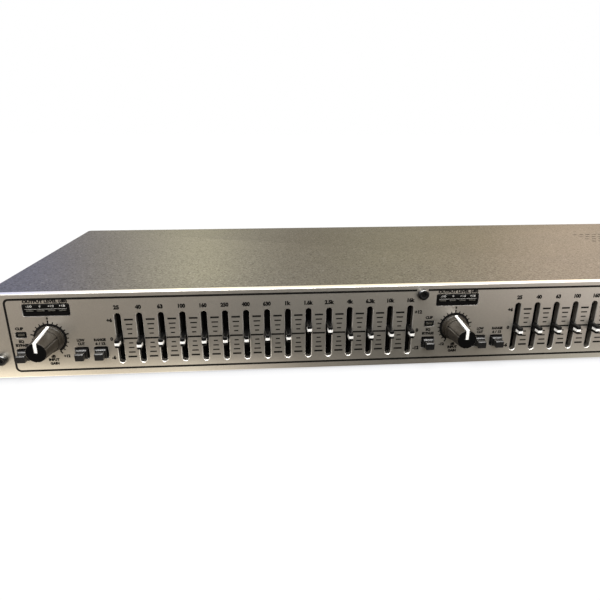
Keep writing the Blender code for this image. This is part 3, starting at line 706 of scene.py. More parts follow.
def front_panel():
    face = panel_outline(EDGE_R + FACE_MARGIN, 0.4)
    back = panel_outline(BACK_EASE, PANEL_CORNER_R - BACK_EASE)
    levels = [at_y(face, FRONT_Y)]
    for i in range(6):
        angle = math.radians(90 * i / 5)
        inset = EDGE_R * (1 - math.sin(angle))
        levels.append(at_y(panel_outline(inset, PANEL_CORNER_R - inset),
                           FRONT_Y + EDGE_R * (1 - math.cos(angle))))
    levels.append(at_y(panel_outline(0, PANEL_CORNER_R), PANEL.back - BACK_EASE))
    levels.append(at_y(back, PANEL.back))
    shape = bmesh.new()
    rings = skin_levels(shape, levels)
    face_rings, face_loops = [rings[0]], [face]
    back_rings, back_loops = [rings[-1]], [back]
    for rim, wall, chamfer in panel_holes():
        rings = skin_levels(shape, [at_y(rim, FRONT_Y), at_y(wall, FRONT_Y + chamfer),
                                    at_y(wall, PANEL.back)])
        face_rings.append(rings[0])
        face_loops.append(rim)
        back_rings.append(rings[-1])
        back_loops.append(wall)
    add_cap(shape, face_rings, face_loops)
    add_cap(shape, back_rings, back_loops)
    plate = make("front_panel_plate", shape, PANEL_METAL, smooth=30)
    recess = bmesh.new()
    add_box(recess, around(0, EAR_INNER_X), (PANEL.back - BACK_RECESS, PANEL.back + 2),
            (PANEL.bottom - 3, PANEL.top + 3))
    cut(plate, recess, smooth=30)
    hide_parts("front_panel")


front_panel()

# ------------------------------------------------------------------ printing on the panel
INK_ENDS = (FRONT_Y - 0.03, FRONT_Y + 0.05)  # front and back of the ink layer
ZERO_Z, MARK_STEP = -2.4, 2.5  # fader scale: its zero from mid panel, spacing of its marks
# scale marks on each side of zero: (steps from zero, half length, line width)
SCALE_MARKS = [(1, 1.05, 0.62), (2, 1.35, 0.62), (3, 1.65, 0.66), (4, 2.15, 0.92)]
BORDER_X, BORDER_TOP, BORDER_BOTTOM, BORDER_R = 204.1, 19.25, -18.5, 2.2
BORDER_GAP = 2.9  # half the break round the centre screw
DIAL_R = 7.3


def stroke(shape, path, width):
    """A printed line of constant width along a path, mitred at its corners."""
    runs = [Vector((x1 - x0, z1 - z0)).normalized() for (x0, z0), (x1, z1) in zip(path, path[1:])]
    left, right = [], []
    for i, (x, z) in enumerate(path):
        meeting = runs[max(i - 1, 0):i + 1]
        along = sum(meeting, Vector((0, 0))).normalized()
        reach = width / 2 / max(0.4, abs(along.dot(meeting[0])))
        left.append((x - along.y * reach, z + along.x * reach))
        right.append((x + along.y * reach, z - along.x * reach))
    front, back = [[new_ring(shape, at_y(side, y)) for side in (left, right)] for y in INK_ENDS]
    for i in range(len(runs)):
        j = i + 1
        shape.faces.new((front[0][i], front[0][j], front[1][j], front[1][i]))
        shape.faces.new((back[0][j], back[0][i], back[1][i], back[1][j]))
        shape.faces.new((front[0][i], back[0][i], back[0][j], front[0][j]))
        shape.faces.new((front[1][j], back[1][j], back[1][i], front[1][i]))
    shape.faces.new((front[0][0], front[1][0], back[1][0], back[0][0]))
    shape.faces.new((front[0][-1], back[0][-1], back[1][-1], front[1][-1]))


def letters(shape, text, x, z, cap, bold=0.0, width=None, squeeze=1.0, y_ends=INK_ENDS):
    """Lettering in the built-in face, as thin solids. cap is the capital height, bold thickens
    the strokes, and width, when given, is the length of the whole word."""
    front, back = y_ends
    curve = bpy.data.curves.new("letters", "FONT")
    curve.body = text
    curve.size = cap / 0.70 * MM
    curve.extrude = 0.5 * (back - front) * MM
    curve.offset = bold * MM
    curve.align_x = "CENTER"
    curve.align_y = "CENTER"
    curve.resolution_u = 3
    holder = add_object("letters", curve)
    graph = bpy.context.evaluated_depsgraph_get()
    mesh = bpy.data.meshes.new_from_object(holder.evaluated_get(graph))
    xs = [vert.co.x for vert in mesh.vertices]
    ys = [vert.co.y for vert in mesh.vertices]
    middle = (-(min(xs) + max(xs)) / 2, -(min(ys) + max(ys)) / 2, 0)
    mesh.transform(Matrix.Translation(middle))
    if width:
        squeeze = width * MM / (max(xs) - min(xs))
    mesh.transform(Matrix.Translation(point(x, (front + back) / 2, z))
                   @ Matrix.Rotation(math.radians(90), 4, "X")
                   @ Matrix.Diagonal((squeeze, 1.0, 1.0, 1.0)))
    word = bmesh.new()
    word.from_mesh(mesh)
    bmesh.ops.remove_doubles(word, verts=word.verts[:], dist=1e-6)
    merge(shape, word)
    bpy.data.objects.remove(holder)
    bpy.data.curves.remove(curve)
    bpy.data.meshes.remove(mesh)


def printed(name, shape):
    make(name, shape, INK, smooth=None)


def border_line():
    """A rounded frame, clockwise from the right of the centre screw back to its left."""
    screw_x = SCREWS["centre"].x
    x, top, bottom = BORDER_X - BORDER_R, BORDER_TOP - BORDER_R, BORDER_BOTTOM + BORDER_R
    path = [(screw_x + BORDER_GAP, from_mid(BORDER_TOP))]
    for corner_x, corner_z, start in ((x, top, 90), (x, bottom, 0), (-x, bottom, -90),
                                      (-x, top, 180)):
        path += arc(corner_x, from_mid(corner_z), BORDER_R, start, -90, 6)
    path.append((screw_x - BORDER_GAP, from_mid(BORDER_TOP)))
    shape = bmesh.new()
    stroke(shape, path, width=1.05)
    printed("print_border_line", shape)


def scale_marks(name, xs):
    shape = bmesh.new()
    reach = SLOT_W / 2 + 0.35
    zero = from_mid(ZERO_Z)
    for x, next_x in zip(xs, xs[1:]):
        middle = (x + next_x) / 2
        stroke(shape, [(x + reach, zero), (next_x - reach, zero)], width=0.88)
        for steps, half, width in SCALE_MARKS:
            for side in (1, -1):
                z = from_mid(ZERO_Z + side * MARK_STEP * steps)
                stroke(shape, [(middle - half, z), (middle + half, z)], width)
    printed(name + "_print_scale_marks", shape)


def gain_dial(name, knob):
    """An arc of 300 degrees, open at the foot, with a tick every 15 degrees."""
    shape = bmesh.new()
    stroke(shape, arc(knob.x, knob.z, DIAL_R, 240, -300, 60), width=1.25)
    for step in range(-10, 11):
        angle = math.radians(15 * step)
        if step == 0:
            end, width = 9.6, 0.72
        elif step % 5 == 0:
            end, width = 9.4, 0.72
        else:
            end, width = 8.85, 0.58
        tick = [(knob.x + radius * math.sin(angle), knob.z + radius * math.cos(angle))
                for radius in (DIAL_R + 0.3, end)]
        stroke(shape, tick, width)
    printed(name + "_print_gain_dial", shape)


def numbers(name, xs, knob):
    shape = bmesh.new()
    for x, text in zip(xs, LABELS):
        letters(shape, text, x, from_mid(14.15), cap=1.9, bold=0.19,
                squeeze=1.0 if len(text) < 3 else 0.93)
    # the two scales beside the faders: (text, x, height from mid panel)
    left_x, right_x = xs[0] - 4.0, xs[-1] + 4.3
    for text, x, height in (("+6", left_x, 7.5), ("0", left_x, -2.5), ("-6", left_x, -12.6),
                            ("+12", right_x, 7.55), ("0", right_x, -2.5), ("-12", right_x, -12.5)):
        letters(shape, text, x, from_mid(height), cap=1.7, bold=0.17)
    letters(shape, "0", knob.x, knob.z + 10.6, cap=1.1, bold=0.14)
    letters(shape, "-12", knob.x - 6.0, from_mid(-10.8), cap=1.4, bold=0.14, width=2.9)
    letters(shape, "+12", knob.x + 6.6, from_mid(-10.9), cap=1.4, bold=0.14, width=3.2)
    printed(name + "_print_numbers", shape)


def words(name, channel):
    shape = bmesh.new()
    bypass_x, low_cut_x, range_x = [button.x for button in channel.buttons.values()]
    clip_x, knob_x = channel.clip.x, channel.knob.x
    # (text, x, height from mid panel, capital height, word width)
    for text, x, height, cap, width in (
            ("CLIP", clip_x - 0.3, 4.3, 1.3, 3.9),
            ("EQ", bypass_x - 0.3, -2.55, 1.3, 2.5),
            ("BYPASS", bypass_x - 0.2, -4.5, 1.3, 6.3),
            ("LOW", low_cut_x + 0.2, -2.65, 1.3, 3.8),
            ("CUT", low_cut_x + 0.2, -4.6, 1.3, 3.4),
            ("RANGE", range_x, -2.7, 1.3, 5.8),
            ("6 / 12", range_x, -4.75, 1.2, 5.0),
            ("dB", knob_x, -10.9, 1.35, 2.2),
            ("INPUT", knob_x + 0.1, -12.7, 1.3, 5.2),
            ("GAIN", knob_x + 0.1, -14.75, 1.3, 4.4)):
        letters(shape, text, x, from_mid(height), cap, bold=0.14, width=width)
    letters(shape, "OUTPUT LEVEL (dB)", channel.meter.x, from_mid(17.9), cap=1.35, bold=0.13,
            width=20.9)
    printed(name + "_print_words", shape)


border_line()
for name, channel in CHANNELS.items():
    scale_marks(name, channel.fader_xs)
    gain_dial(name, channel.knob)
    numbers(name, channel.fader_xs, channel.knob)
    words(name, channel)

# ------------------------------------------------------------------ level meters and clip lamps
LAMP_PITCH = 5.15
METER_FIGURES = ("-10", "0", "+10", "+18")
BAR_H, BAR_DROP = 1.5, 0.45  # sunken bar of the meter, and its drop below the centre


def lamp_plate(name, node, bounds, ease, corners, segments, pocket, depth):
    """A plate with eased front edges and a pocket. corners are the radii of face and side."""
    x, z, width, height = bounds.x, bounds.z, bounds.width, bounds.height
    face = round_rect(x, z, width - 2 * ease, height - 2 * ease, corners[0], segments)
    side = round_rect(x, z, width, height, corners[1], segments)
    shape = bmesh.new()
    rings = skin_levels(shape, [at_y(face, bounds.front), at_y(side, bounds.front + ease),
                                at_y(side, bounds.back)])
    mouth, floor = skin_levels(shape, [at_y(pocket, bounds.front),
                                       at_y(pocket, bounds.front + depth)])
    add_cap(shape, [rings[0], mouth], [face, pocket])
    shape.faces.new(floor)
    shape.faces.new(rings[-1])
    make(name, shape, WINDOW, replaces=node)


def level_meter(name, meter):
    x, face = meter.x, meter.front
    bar_w, bar_z = meter.width - 1.6, meter.z - BAR_DROP
    lamp_xs = [x + (i - 1.5) * LAMP_PITCH for i in range(4)]
    lamp_plate(name + "_meter_window", name + "_level_meter", meter, ease=0.15,
               corners=(0.5, 0.6), segments=3, pocket=round_rect(x, bar_z, bar_w, BAR_H, 0.2),
               depth=0.6)
    lamps = bmesh.new()
    for lamp_x in lamp_xs:
        add_round_box(lamps, around(lamp_x, 1.75), (face + 0.1, face + 0.75),
                      (bar_z - 0.30, bar_z + 0.32), radius=0.15)
    make(name + "_meter_lamps", lamps, LENS)
    # painted highlight: a grey strip along the top edge of the lamp bar
    highlight_strip = bmesh.new()
    ink_back = face + 0.04
    bar_top = bar_z + BAR_H / 2
    add_box(highlight_strip, around(x, bar_w / 2 - 0.2), (face - 0.02, ink_back),
            (bar_top + 0.12, bar_top + 0.34))
    make(name + "_meter_painted_highlight", highlight_strip, BAR_HIGHLIGHT_PAINT, smooth=None)
    figures = bmesh.new()
    for text, lamp_x in zip(METER_FIGURES, lamp_xs):
        letters(figures, text, lamp_x, meter.z + 2.0, cap=1.05,
                width=None if text == "0" else 2.8, y_ends=(face - 0.03, ink_back))
    make(name + "_meter_numbers", figures, PALE_INK, smooth=None)


def clip_lamp(name, clip):
    pocket = round_rect(clip.x, clip.z - 0.05, clip.width - 0.9, clip.height - 0.9, 0.15, 2)
    lamp_plate(name + "_clip_frame", name + "_clip_lamp", clip, ease=0.1, corners=(0.25, 0.3),
               segments=2, pocket=pocket, depth=0.8)
    lens = bmesh.new()
    add_round_box(lens, (clip.left + 0.55, clip.right - 0.55),
                  (clip.front + 0.25, clip.front + 0.95), (clip.bottom + 0.5, clip.top - 0.6),
                  radius=0.2)
    make(name + "_clip_lens", lens, LENS)


for name, channel in CHANNELS.items():
    level_meter(name, channel.meter)
    clip_lamp(name, channel.clip)


# ------------------------------------------------------------------ panel screws
def screw_head(name, x, z, seat_y, radius, height, socket, out, shank=None, replaces=None):
    """A cheese-head screw: straight flank, eased top edge, hexagonal socket. out is the way the
    head faces along Y; shank is (radius, length)."""
    count = 48
    ease = 0.8 * min(1.0, height / 2.0)
    top = seat_y + out * height
    # (radius, y) along the head
    profile = [(radius * 0.97, seat_y), (radius, seat_y + out * 0.15), (radius, top - out * ease)]
    for i in range(1, 5):
        angle = math.radians(90 * i / 4)
        profile.append((radius - ease * (1 - math.cos(angle)),
                        top - out * ease * (1 - math.sin(angle))))
    profile.append((socket * 1.42, top))
    if shank:
        shank_r, length = shank
        profile = [(shank_r, seat_y - out * length), (shank_r, seat_y)] + profile
    levels = [at_y(circle(x, z, ring_r, count), y) for ring_r, y in profile]
    hollow = hexagon(x, z, socket * 1.12 * math.cos(math.radians(30)), count)
    levels += [at_y(hollow, top - out * depth) for depth in (0.12, height * 0.55)]
    shape = bmesh.new()
    add_loops(shape, levels)
    make(name, shape, SCREW_BLACK, replaces=replaces)


for side, screw in SCREWS.items():
    screw_head(f"panel_screw_{side}_head", screw.x, screw.z, FRONT_Y, radius=2.8,
               height=FRONT_Y - screw.front, socket=1.25, out=-1,
               shank=(1.45, screw.back - FRONT_Y), replaces="panel_screw_" + side)

# ------------------------------------------------------------------ faders
CAP_TIP = FRONT_Y - 6.3
CAP_REAR = FRONT_Y + 3.0
CAP_W, CAP_H, CAP_R, CAP_CROWN = 2.15, 4.3, 0.3, 0.34
STEM_W, STEM_H, STEM_R, STEM_RISE = 1.2, 3.2, 0.2, 0.4
STRIPE_DROP, STRIPE_H, STRIPE_DEEP, STRIPE_LIFT = 0.12, 1.3, 3.3, 0.06


def fader_cap(stem_back):
    """A narrow block with a crowned front and the lever behind it, about its own centre line."""
    stem = round_rect(0, STEM_RISE, STEM_W, STEM_H, STEM_R)
    levels = [at_y(stem, stem_back), at_y(stem, CAP_REAR)]

    def level(y, inset, inset_z=None, radius=CAP_R):
        height = CAP_H - (inset if inset_z is None else inset_z)
        levels.append(at_y(round_rect(0, 0, CAP_W - inset, height, radius), y))

    level(CAP_REAR, 0.3)
    level(CAP_REAR - 0.15, 0)
    for i in range(5):
        angle = math.radians(90 * i / 4)
        level(CAP_TIP + CAP_CROWN * (1 - math.sin(angle)) + 0.10,
              2 * CAP_CROWN * (1 - math.cos(angle)))
    level(CAP_TIP, 1.3, inset_z=2.4, radius=0.2)
    shape = bmesh.new()
    add_loops(shape, levels)
    return to_mesh("fader_cap", shape, smooth=40)


def fader_pointer():
    """White stripe over the front and down both flanks."""
    half, back = CAP_W / 2, CAP_TIP + STRIPE_DEEP
    # (x, y) of the right half
    outer = [(half + STRIPE_LIFT, back), (half + STRIPE_LIFT, CAP_TIP + 0.34),
             (half - 0.02, CAP_TIP + 0.08), (half - 0.22, CAP_TIP - STRIPE_LIFT)]
    inner = [(half - 0.4, CAP_TIP + 0.5), (half - 0.4, back)]
    mirrored = [[(-x, y) for x, y in reversed(side)] for side in (outer, inner)]
    shape = bmesh.new()
    add_prism(shape, outer + mirrored[0] + mirrored[1] + inner, at_z,
              *around(-STRIPE_DROP, STRIPE_H / 2))
    return to_mesh("fader_pointer", shape, smooth=40)


def faders():
    """All faders share two meshes; the lever's length is taken from the first fader."""
    first = next(iter(CHANNELS["ch1"].faders.values()))
    cap_mesh, pointer_mesh = fader_cap(first.back), fader_pointer()
    cap_mesh.materials.append(CAP_BLACK)
    pointer_mesh.materials.append(POINTER_WHITE)
    for channel in CHANNELS.values():
        for node, bounds in channel.faders.items():
            for mesh, suffix in ((cap_mesh, "_cap"), (pointer_mesh, "_pointer")):
                obj = add_object(node + suffix, mesh)
                obj.location = point(bounds.x, 0, bounds.z)
                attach(obj, node)
                if mesh is cap_mesh:
                    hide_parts(node)


faders()

# ------------------------------------------------------------------ gain knobs
KNOB_BASE, KNOB_TIP = FRONT_Y - 0.35, FRONT_Y - 16.8
GRIP_Y = KNOB_BASE - 4.3  # where the grooved grip begins
TIP_R, NECK_R, SKIRT_R = 4.85, 6.2, 6.7
SKIRT_FLANK, SKIRT_ROUND = 0.6, 0.35
POINTER_HALF_W = 0.75
GROOVES = [10 + 340 / 6 * i for i in range(7)]  # degrees from the top


def knob_ring(knob, y, radius, flat=0.0, groove=0.0):
    """One turn of the knob's side: a circle, flattened between its grooves."""
    count, groove_half_w = 240, 0.5
    points = []
    for i in range(count):
        degrees = 360 * i / count
        reach = radius
        for start, end in zip(GROOVES, GROOVES[1:]):
            if start <= degrees < end:
                half = math.radians((end - start) / 2)
                local = math.radians(degrees - (start + end) / 2)
                reach = radius * (1 - flat) + radius * flat * math.cos(half) / math.cos(local)
        nearest = min(abs((degrees - place + 180) % 360 - 180) for place in GROOVES)
        gap = radius * math.radians(nearest)
        reach -= groove * max(0.0, 1 - gap / groove_half_w)
        angle = math.radians(degrees)
        points.append(point(knob.x + reach * math.sin(angle), y,
                            knob.z + reach * math.cos(angle)))
    return points


def knob_body(name, knob):
    # (y, radius, flattening, groove depth) from the back of the shaft to the tip
    stations = [(knob.back, 3.0, 0, 0), (KNOB_BASE, 3.0, 0, 0), (KNOB_BASE, SKIRT_R - 0.15, 0, 0),
                (KNOB_BASE - 0.12, SKIRT_R, 0, 0), (KNOB_BASE - SKIRT_FLANK, SKIRT_R, 0, 0)]
    for i in range(1, 5):
        angle = math.radians(90 * i / 4)
        stations.append((KNOB_BASE - SKIRT_FLANK - SKIRT_ROUND * math.sin(angle),
                         SKIRT_R - SKIRT_ROUND * (1 - math.cos(angle)), 0, 0))
    taper_y, taper_r = GRIP_Y - 0.8, NECK_R - 0.32
    stations += [(KNOB_BASE - 1.0, NECK_R + 0.12, 0, 0), (KNOB_BASE - 1.15, NECK_R, 0, 0),
                 (GRIP_Y, NECK_R - 0.20, 0, 0), (GRIP_Y - 0.03, NECK_R - 0.24, 0.35, 0.75),
                 (GRIP_Y - 0.45, NECK_R - 0.28, 0.55, 0.9), (taper_y, taper_r, 0.55, 0.6)]
    for i in range(1, 7):
        part = i / 6
        stations.append((taper_y + (KNOB_TIP + 0.12 - taper_y) * part,
                         taper_r + (TIP_R + 0.08 - taper_r) * part,
                         0.55 - 0.25 * part, 0.55 - 0.1 * part))
    stations.append((KNOB_TIP, TIP_R - 0.04, 0.3, 0.4))
    shape = bmesh.new()
    add_loops(shape, [knob_ring(knob, *station) for station in stations])
    node = name + "_gain_knob"
    make(node + "_body", shape, KNOB_CHARCOAL, node, smooth=24, replaces=node)


def knob_top(name, knob):
    """Dull inlay on the flat top."""
    shape = bmesh.new()
    # (y from the tip, inset from the tip radius)
    add_loops(shape, [knob_ring(knob, KNOB_TIP + offset, TIP_R - inset, flat=0.3, groove=0.3)
                      for offset, inset in ((0.2, 0.12), (-0.03, 0.12), (-0.06, 0.16))])
    make(name + "_gain_knob_top", shape, KNOB_INLAY, name + "_gain_knob",
         smooth=24)


def knob_pointer(name, knob):
    """Along the side from the skirt, over the rim, to the middle of the top."""
    # (y, distance from the knob's axis)
    outer = [(KNOB_BASE - 0.55, SKIRT_R + 0.10), (KNOB_BASE - 1.0, SKIRT_R - 0.10),
             (KNOB_BASE - 1.25, NECK_R + 0.16), (GRIP_Y, NECK_R + 0.02),
             (KNOB_TIP + 0.2, TIP_R + 0.16), (KNOB_TIP - 0.05, TIP_R + 0.08),
             (KNOB_TIP - 0.15, TIP_R - 0.12), (KNOB_TIP - 0.16, -0.05)]
    inner = [(KNOB_TIP + 0.5, -0.05), (KNOB_TIP + 0.7, TIP_R - 0.8), (GRIP_Y, NECK_R - 1.0),
             (KNOB_BASE - 0.55, NECK_R - 0.6)]
    shape = bmesh.new()
    add_prism(shape, [(y, knob.z + reach) for y, reach in outer + inner], at_x,
              *around(knob.x, POINTER_HALF_W))
    bmesh.ops.recalc_face_normals(shape, faces=shape.faces[:])
    bmesh.ops.bevel(shape, geom=shape.edges[:], offset=0.06 * MM, segments=1, affect="EDGES",
                    clamp_overlap=True)
    make(name + "_gain_knob_pointer", shape, POINTER_WHITE, name + "_gain_knob")


for name, channel in CHANNELS.items():
    knob_body(name, channel.knob)
    knob_top(name, channel.knob)
    knob_pointer(name, channel.knob)

# ------------------------------------------------------------------ push buttons
BUTTON_REAR, BUTTON_LEDGE = -80.2, FRONT_Y - 2.0
BOSS_W, BOSS_H, BOSS_DROP = 4.25, 3.75, 0.3


def button_step(y, back, width, height, slope, drop=0.0):
    """A block whose upper front edge slopes back; its other front edges are only eased.
    Returns (y, half width, reach down, reach up, corner radius) from back to front."""
    half_w, half_h, radius = width / 2, height / 2, 0.35
    down, up = half_h + drop, half_h - drop
    return [(back, half_w, down, up, radius),
            (y + slope, half_w, down, up, radius),
            (y + slope - 0.06, half_w, down, up - 0.10, radius),
            (y + 0.10, half_w - 0.02, down - 0.02, up - slope + 0.03, radius),
            (y, half_w - 0.12, down - 0.12, up - slope - 0.10, radius - 0.1)]


def push_button(node, button):
    """A square stem, the cap and a smaller boss on its front."""
    stations = [(button.back, 1.5, 1.5, 1.5, 0.3), (BUTTON_REAR, 1.5, 1.5, 1.5, 0.3),
                *button_step(BUTTON_LEDGE, BUTTON_REAR, button.width, button.height, slope=0.50),
                *button_step(button.front, BUTTON_LEDGE, BOSS_W, BOSS_H, slope=0.40,
                             drop=BOSS_DROP),
                (button.front + 0.07, 1.0, 1.2, 0.0, 0.2)]
    shape = bmesh.new()
    add_loops(shape, [at_y(round_rect(button.x, button.z + (up - down) / 2, 2 * half_w,
                                      up + down, radius), y)
                      for y, half_w, down, up, radius in stations])
    make(node + "_cap", shape, BUTTON_BLACK, node, smooth=34, replaces=node)


for name, channel in CHANNELS.items():
    for use, button in channel.buttons.items():
        push_button(f"{name}_{use}_button", button)

# ------------------------------------------------------------------ rear fastenings and contacts
REAR_FACE = Bounds("ch1_input_xlr").back
XLR_SCREW_X, XLR_SCREW_Z, XLR_PIN_R = 9.8, 12.3, 4.1
# (radius, y) of a pin and of a sleeve
PIN = [(0.01, 66.5), (1.32, 66.5), (1.32, 78.2), (1.1, 78.6), (0.6, 78.75), (0.01, 78.8)]
SLEEVE = [(0.85, REAR_FACE - 0.35), (1.42, REAR_FACE - 0.35), (1.42, 71.0), (0.01, 71.0),
          (0.01, 71.4), (0.85, 71.4), (0.85, REAR_FACE - 0.35)]
JACK_XS = (-92.0, -44.0, 32.0, 80.0)
# (y, radius) of each jack's round collar, and (y, half width across flats) of its nut
COLLAR = [(80.75, 6.1), (81.0, 6.4), (81.35, 6.4), (81.5, 6.1)]
NUT = [(81.5, 5.4), (81.7, 5.75), (82.7, 5.75), (82.9, 5.4)]
JACK_BORE_R = 4.5


def xlr_fittings(node, profile, angles):
    """Two screws on a diagonal and three contacts at the given angles."""
    xlr = Bounds(node)
    for place, side in (("upper", 1), ("lower", -1)):
        screw_head(f"{node}_{place}_screw", xlr.x + side * XLR_SCREW_X,
                   xlr.z + side * XLR_SCREW_Z, REAR_FACE, radius=1.7, height=0.8, socket=0.75,
                   out=1)
    shape = bmesh.new()
    for angle in angles:
        x = xlr.x + XLR_PIN_R * math.cos(math.radians(angle))
        z = xlr.z + XLR_PIN_R * math.sin(math.radians(angle))
        add_loops(shape, [at_y(circle(x, z, radius, 20), y) for radius, y in profile])
    make(node + "_contacts", shape, CONTACT_METAL)


def xlr_liner(node):
    xlr = Bounds(node)
    shape = bmesh.new()
    add_prism(shape, circle(xlr.x, xlr.z, 9.15, 40), at_y, 68.0, REAR_FACE - 0.4,
              holes=[circle(xlr.x, xlr.z, 8.75, 40)])
    make(node + "_liner", shape, NICKEL)


def mains_blades():
    inlet = Bounds("mains_inlet")
    shape = bmesh.new()
    for x, z in ((-7.0, -1.5), (0.0, 2.5), (7.0, -1.5)):
        add_round_box(shape, around(inlet.x + x, 1.12), (64.8, 77.8), around(inlet.z + z, 2.12),
                      radius=0.5)
    make("mains_inlet_blades", shape, NICKEL)


def jack_nut(name, x):
    """A round collar and a hexagonal nut, both bored through."""
    z = MID_Z - 1.0
    bore = circle(x, z, JACK_BORE_R, 48)
    collar = [at_y(circle(x, z, radius, 48), y) for y, radius in COLLAR]
    nut = [at_y(hexagon(x, z, radius), y) for y, radius in NUT]
    shape = bmesh.new()
    for levels, stations in ((collar, COLLAR), (nut, NUT)):
        rings = skin_levels(shape, [at_y(bore, stations[0][0]), *levels,
                                    at_y(bore, stations[-1][0])])
        skin(shape, rings[-1], rings[0])
    make(name, shape, NICKEL, smooth=30)


for name in CHANNELS:
    xlr_fittings(name + "_input_xlr", SLEEVE, angles=(270, 30, 150))
    xlr_fittings(name + "_output_xlr", PIN, angles=(90, 210, 330))
    xlr_liner(name + "_output_xlr")
mains_blades()
for i, x in enumerate(JACK_XS):
    jack_nut(f"jack_nut_{i + 1}", x)

# ------------------------------------------------------------------ top cover
SHEET, BEND, COVER_CORNER = 1.2, 1.5, 3.0
REAR_OPENING_HALF_W, LIP_Z = 212.5, 38.0
VENT_ROWS = (13.5, 21.0, 28.5, 36.0)
VENT_X, VENT_PITCH, VENTS_PER_ROW, VENT_W, VENT_D = 157.0, 5.0, 9, 3.4, 1.6


def lid_outline(half_w, front, back, radius, segments=8):
    """Square at the front, rounded at the two rear corners."""
    return [(-half_w, front),
            *arc(-half_w + radius, back - radius, radius, 180, -90, segments),
            *arc(half_w - radius, back - radius, radius, 90, -90, segments),
            (half_w, front)]


def top_cover():
    case = Bounds("top_cover")
    half_w = case.right

    def outline(inset):
        return lid_outline(half_w - inset, case.front, case.back - inset, COVER_CORNER - inset)

    levels = [at_z(outline(0), case.bottom)]
    for i in range(9):
        angle = math.radians(90 * i / 8)
        levels.append(at_z(outline(BEND * (1 - math.cos(angle))),
                           case.top - BEND + BEND * math.sin(angle)))
    shape = bmesh.new()
    add_loops(shape, levels)
    cover = make("top_cover_shell", shape, COVER_PAINT)

    inside_room = bmesh.new()
    add_prism(inside_room, lid_outline(half_w - SHEET, case.front - 8, case.back - SHEET,
                                       COVER_CORNER - SHEET, 6),
              at_z, case.bottom - 4, case.top - SHEET)
    cut(cover, inside_room)
    rear_opening = bmesh.new()
    add_box(rear_opening, around(0, REAR_OPENING_HALF_W), (case.back - 3.4, case.back + 4),
            (-6, LIP_Z))
    cut(cover, rear_opening)
    vents = bmesh.new()
    for y in VENT_ROWS:
        for i in range(VENTS_PER_ROW):
            add_prism(vents, stadium(VENT_X + i * VENT_PITCH, y, VENT_W, VENT_D, 6), at_z,
                      case.top - SHEET - 2, case.top + 2)
    cut(cover, vents)
    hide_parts("top_cover")


top_cover()

# ------------------------------------------------------------------ floor
FLOOR_HALF, FLOOR_BOTTOM, FLOOR_TOP = 12000, -30.0, -0.6
# What the unit reflects of the floor, as (place from left to right, colour): a table in a dim
# room, lighter towards its ends, so that the satin front shades from end to end.
TABLE_AWAY = [  # well in front of the panel
    (0.0, (0.76, 0.66, 0.60)), (0.17, (0.42, 0.365, 0.31)), (0.235, (0.248, 0.210, 0.172)),
    (0.28, (0.158, 0.134, 0.108)), (0.33, (0.188, 0.160, 0.140)), (0.39, (0.045, 0.042, 0.037)),
    (0.45, (0.022, 0.021, 0.018)), (0.52, (0.040, 0.039, 0.032)), (0.55, (0.078, 0.076, 0.060)),
    (0.60, (0.29, 0.25, 0.215)), (0.66, (0.44, 0.38, 0.36)), (0.70, (0.88, 0.80, 0.76)),
    (1.0, (1.3, 1.24, 1.18))]
TABLE_CLOSE = [  # by the panel and under the unit
    (0.0, (2.3, 2.05, 1.72)), (0.25, (2.1, 1.9, 1.55)), (0.30, (1.35, 1.20, 0.98)),
    (0.35, (1.40, 1.30, 1.10)), (0.39, (0.80, 0.72, 0.63)), (0.43, (0.29, 0.26, 0.22)),
    (0.49, (0.090, 0.082, 0.065)), (0.545, (0.28, 0.25, 0.215)), (0.58, (0.56, 0.53, 0.475)),
    (0.61, (0.64, 0.62, 0.55)), (0.67, (0.84, 0.80, 0.71)), (1.0, (1.25, 1.2, 1.1))]


def floor_look():
    """The camera sees plain white with a soft contact shadow; all else sees the table."""
    look = Look("floor_white")
    look.tree.nodes.remove(look.bsdf)
    paper = look.tones(look.noise(scale=40, detail=2), 1.02, 1.04)
    contact = look.occlusion(samples=12, distance=0.012).outputs["AO"]
    shadow = look.ramp(contact, [(0.35, (0.68, 0.68, 0.69)), (0.60, (0.91, 0.91, 0.92)),
                                 (0.90, 1.0)])
    white = look.node("ShaderNodeEmission", Color=look.mix(1.0, paper, shadow, "MULTIPLY"))
    where = look.split(look.coord)
    across = look.remap(where["X"], low=0.0, high=1.0, start=-0.4, end=0.4)
    away = look.ramp(across, TABLE_AWAY)
    close = look.ramp(across, TABLE_CLOSE)
    distance = look.remap(where["Y"], low=1.0, high=0.0, start=-0.109, end=-0.091)
    table = look.node("ShaderNodeEmission", Color=look.mix(distance, close, away))
    look.end_by_ray(look.tree.nodes["Material Output"], unseen=table, seen=white)
    return look.material


def add_floor():
    half = FLOOR_HALF
    shape = bmesh.new()
    add_prism(shape, [(-half, -half), (half, -half), (half, half), (-half, half)], at_z,
              FLOOR_BOTTOM, FLOOR_TOP)
    floor = add_object("floor", to_mesh("floor", shape))
    floor.data.materials.append(floor_look())


add_floor()

# ------------------------------------------------------------------ world
# (place from left to right, colour)
SKY_BEHIND = [  # cool on the left, warm and lighter on the right
    (0.0, (0.24, 0.33, 0.74)), (0.09, (0.46, 0.47, 0.70)), (0.15, (0.56, 0.50, 0.44)),
    (0.22, (1.02, 0.92, 0.72)), (0.32, (1.90, 1.76, 1.14)), (0.40, (0.95, 0.86, 0.63)),
    (0.50, (0.50, 0.42, 0.27)), (0.66, (0.86, 0.76, 0.44)), (0.80, (1.06, 0.84, 0.50)),
    (0.89, (2.10, 1.60, 1.13)), (1.0, (1.8, 1.40, 1.0))]
SKY_BEFORE = [(0.0, (0.55, 0.53, 0.48)), (0.38, (0.36, 0.35, 0.32)),
              (0.62, (0.38, 0.36, 0.33)), (1.0, (0.65, 0.62, 0.56))]


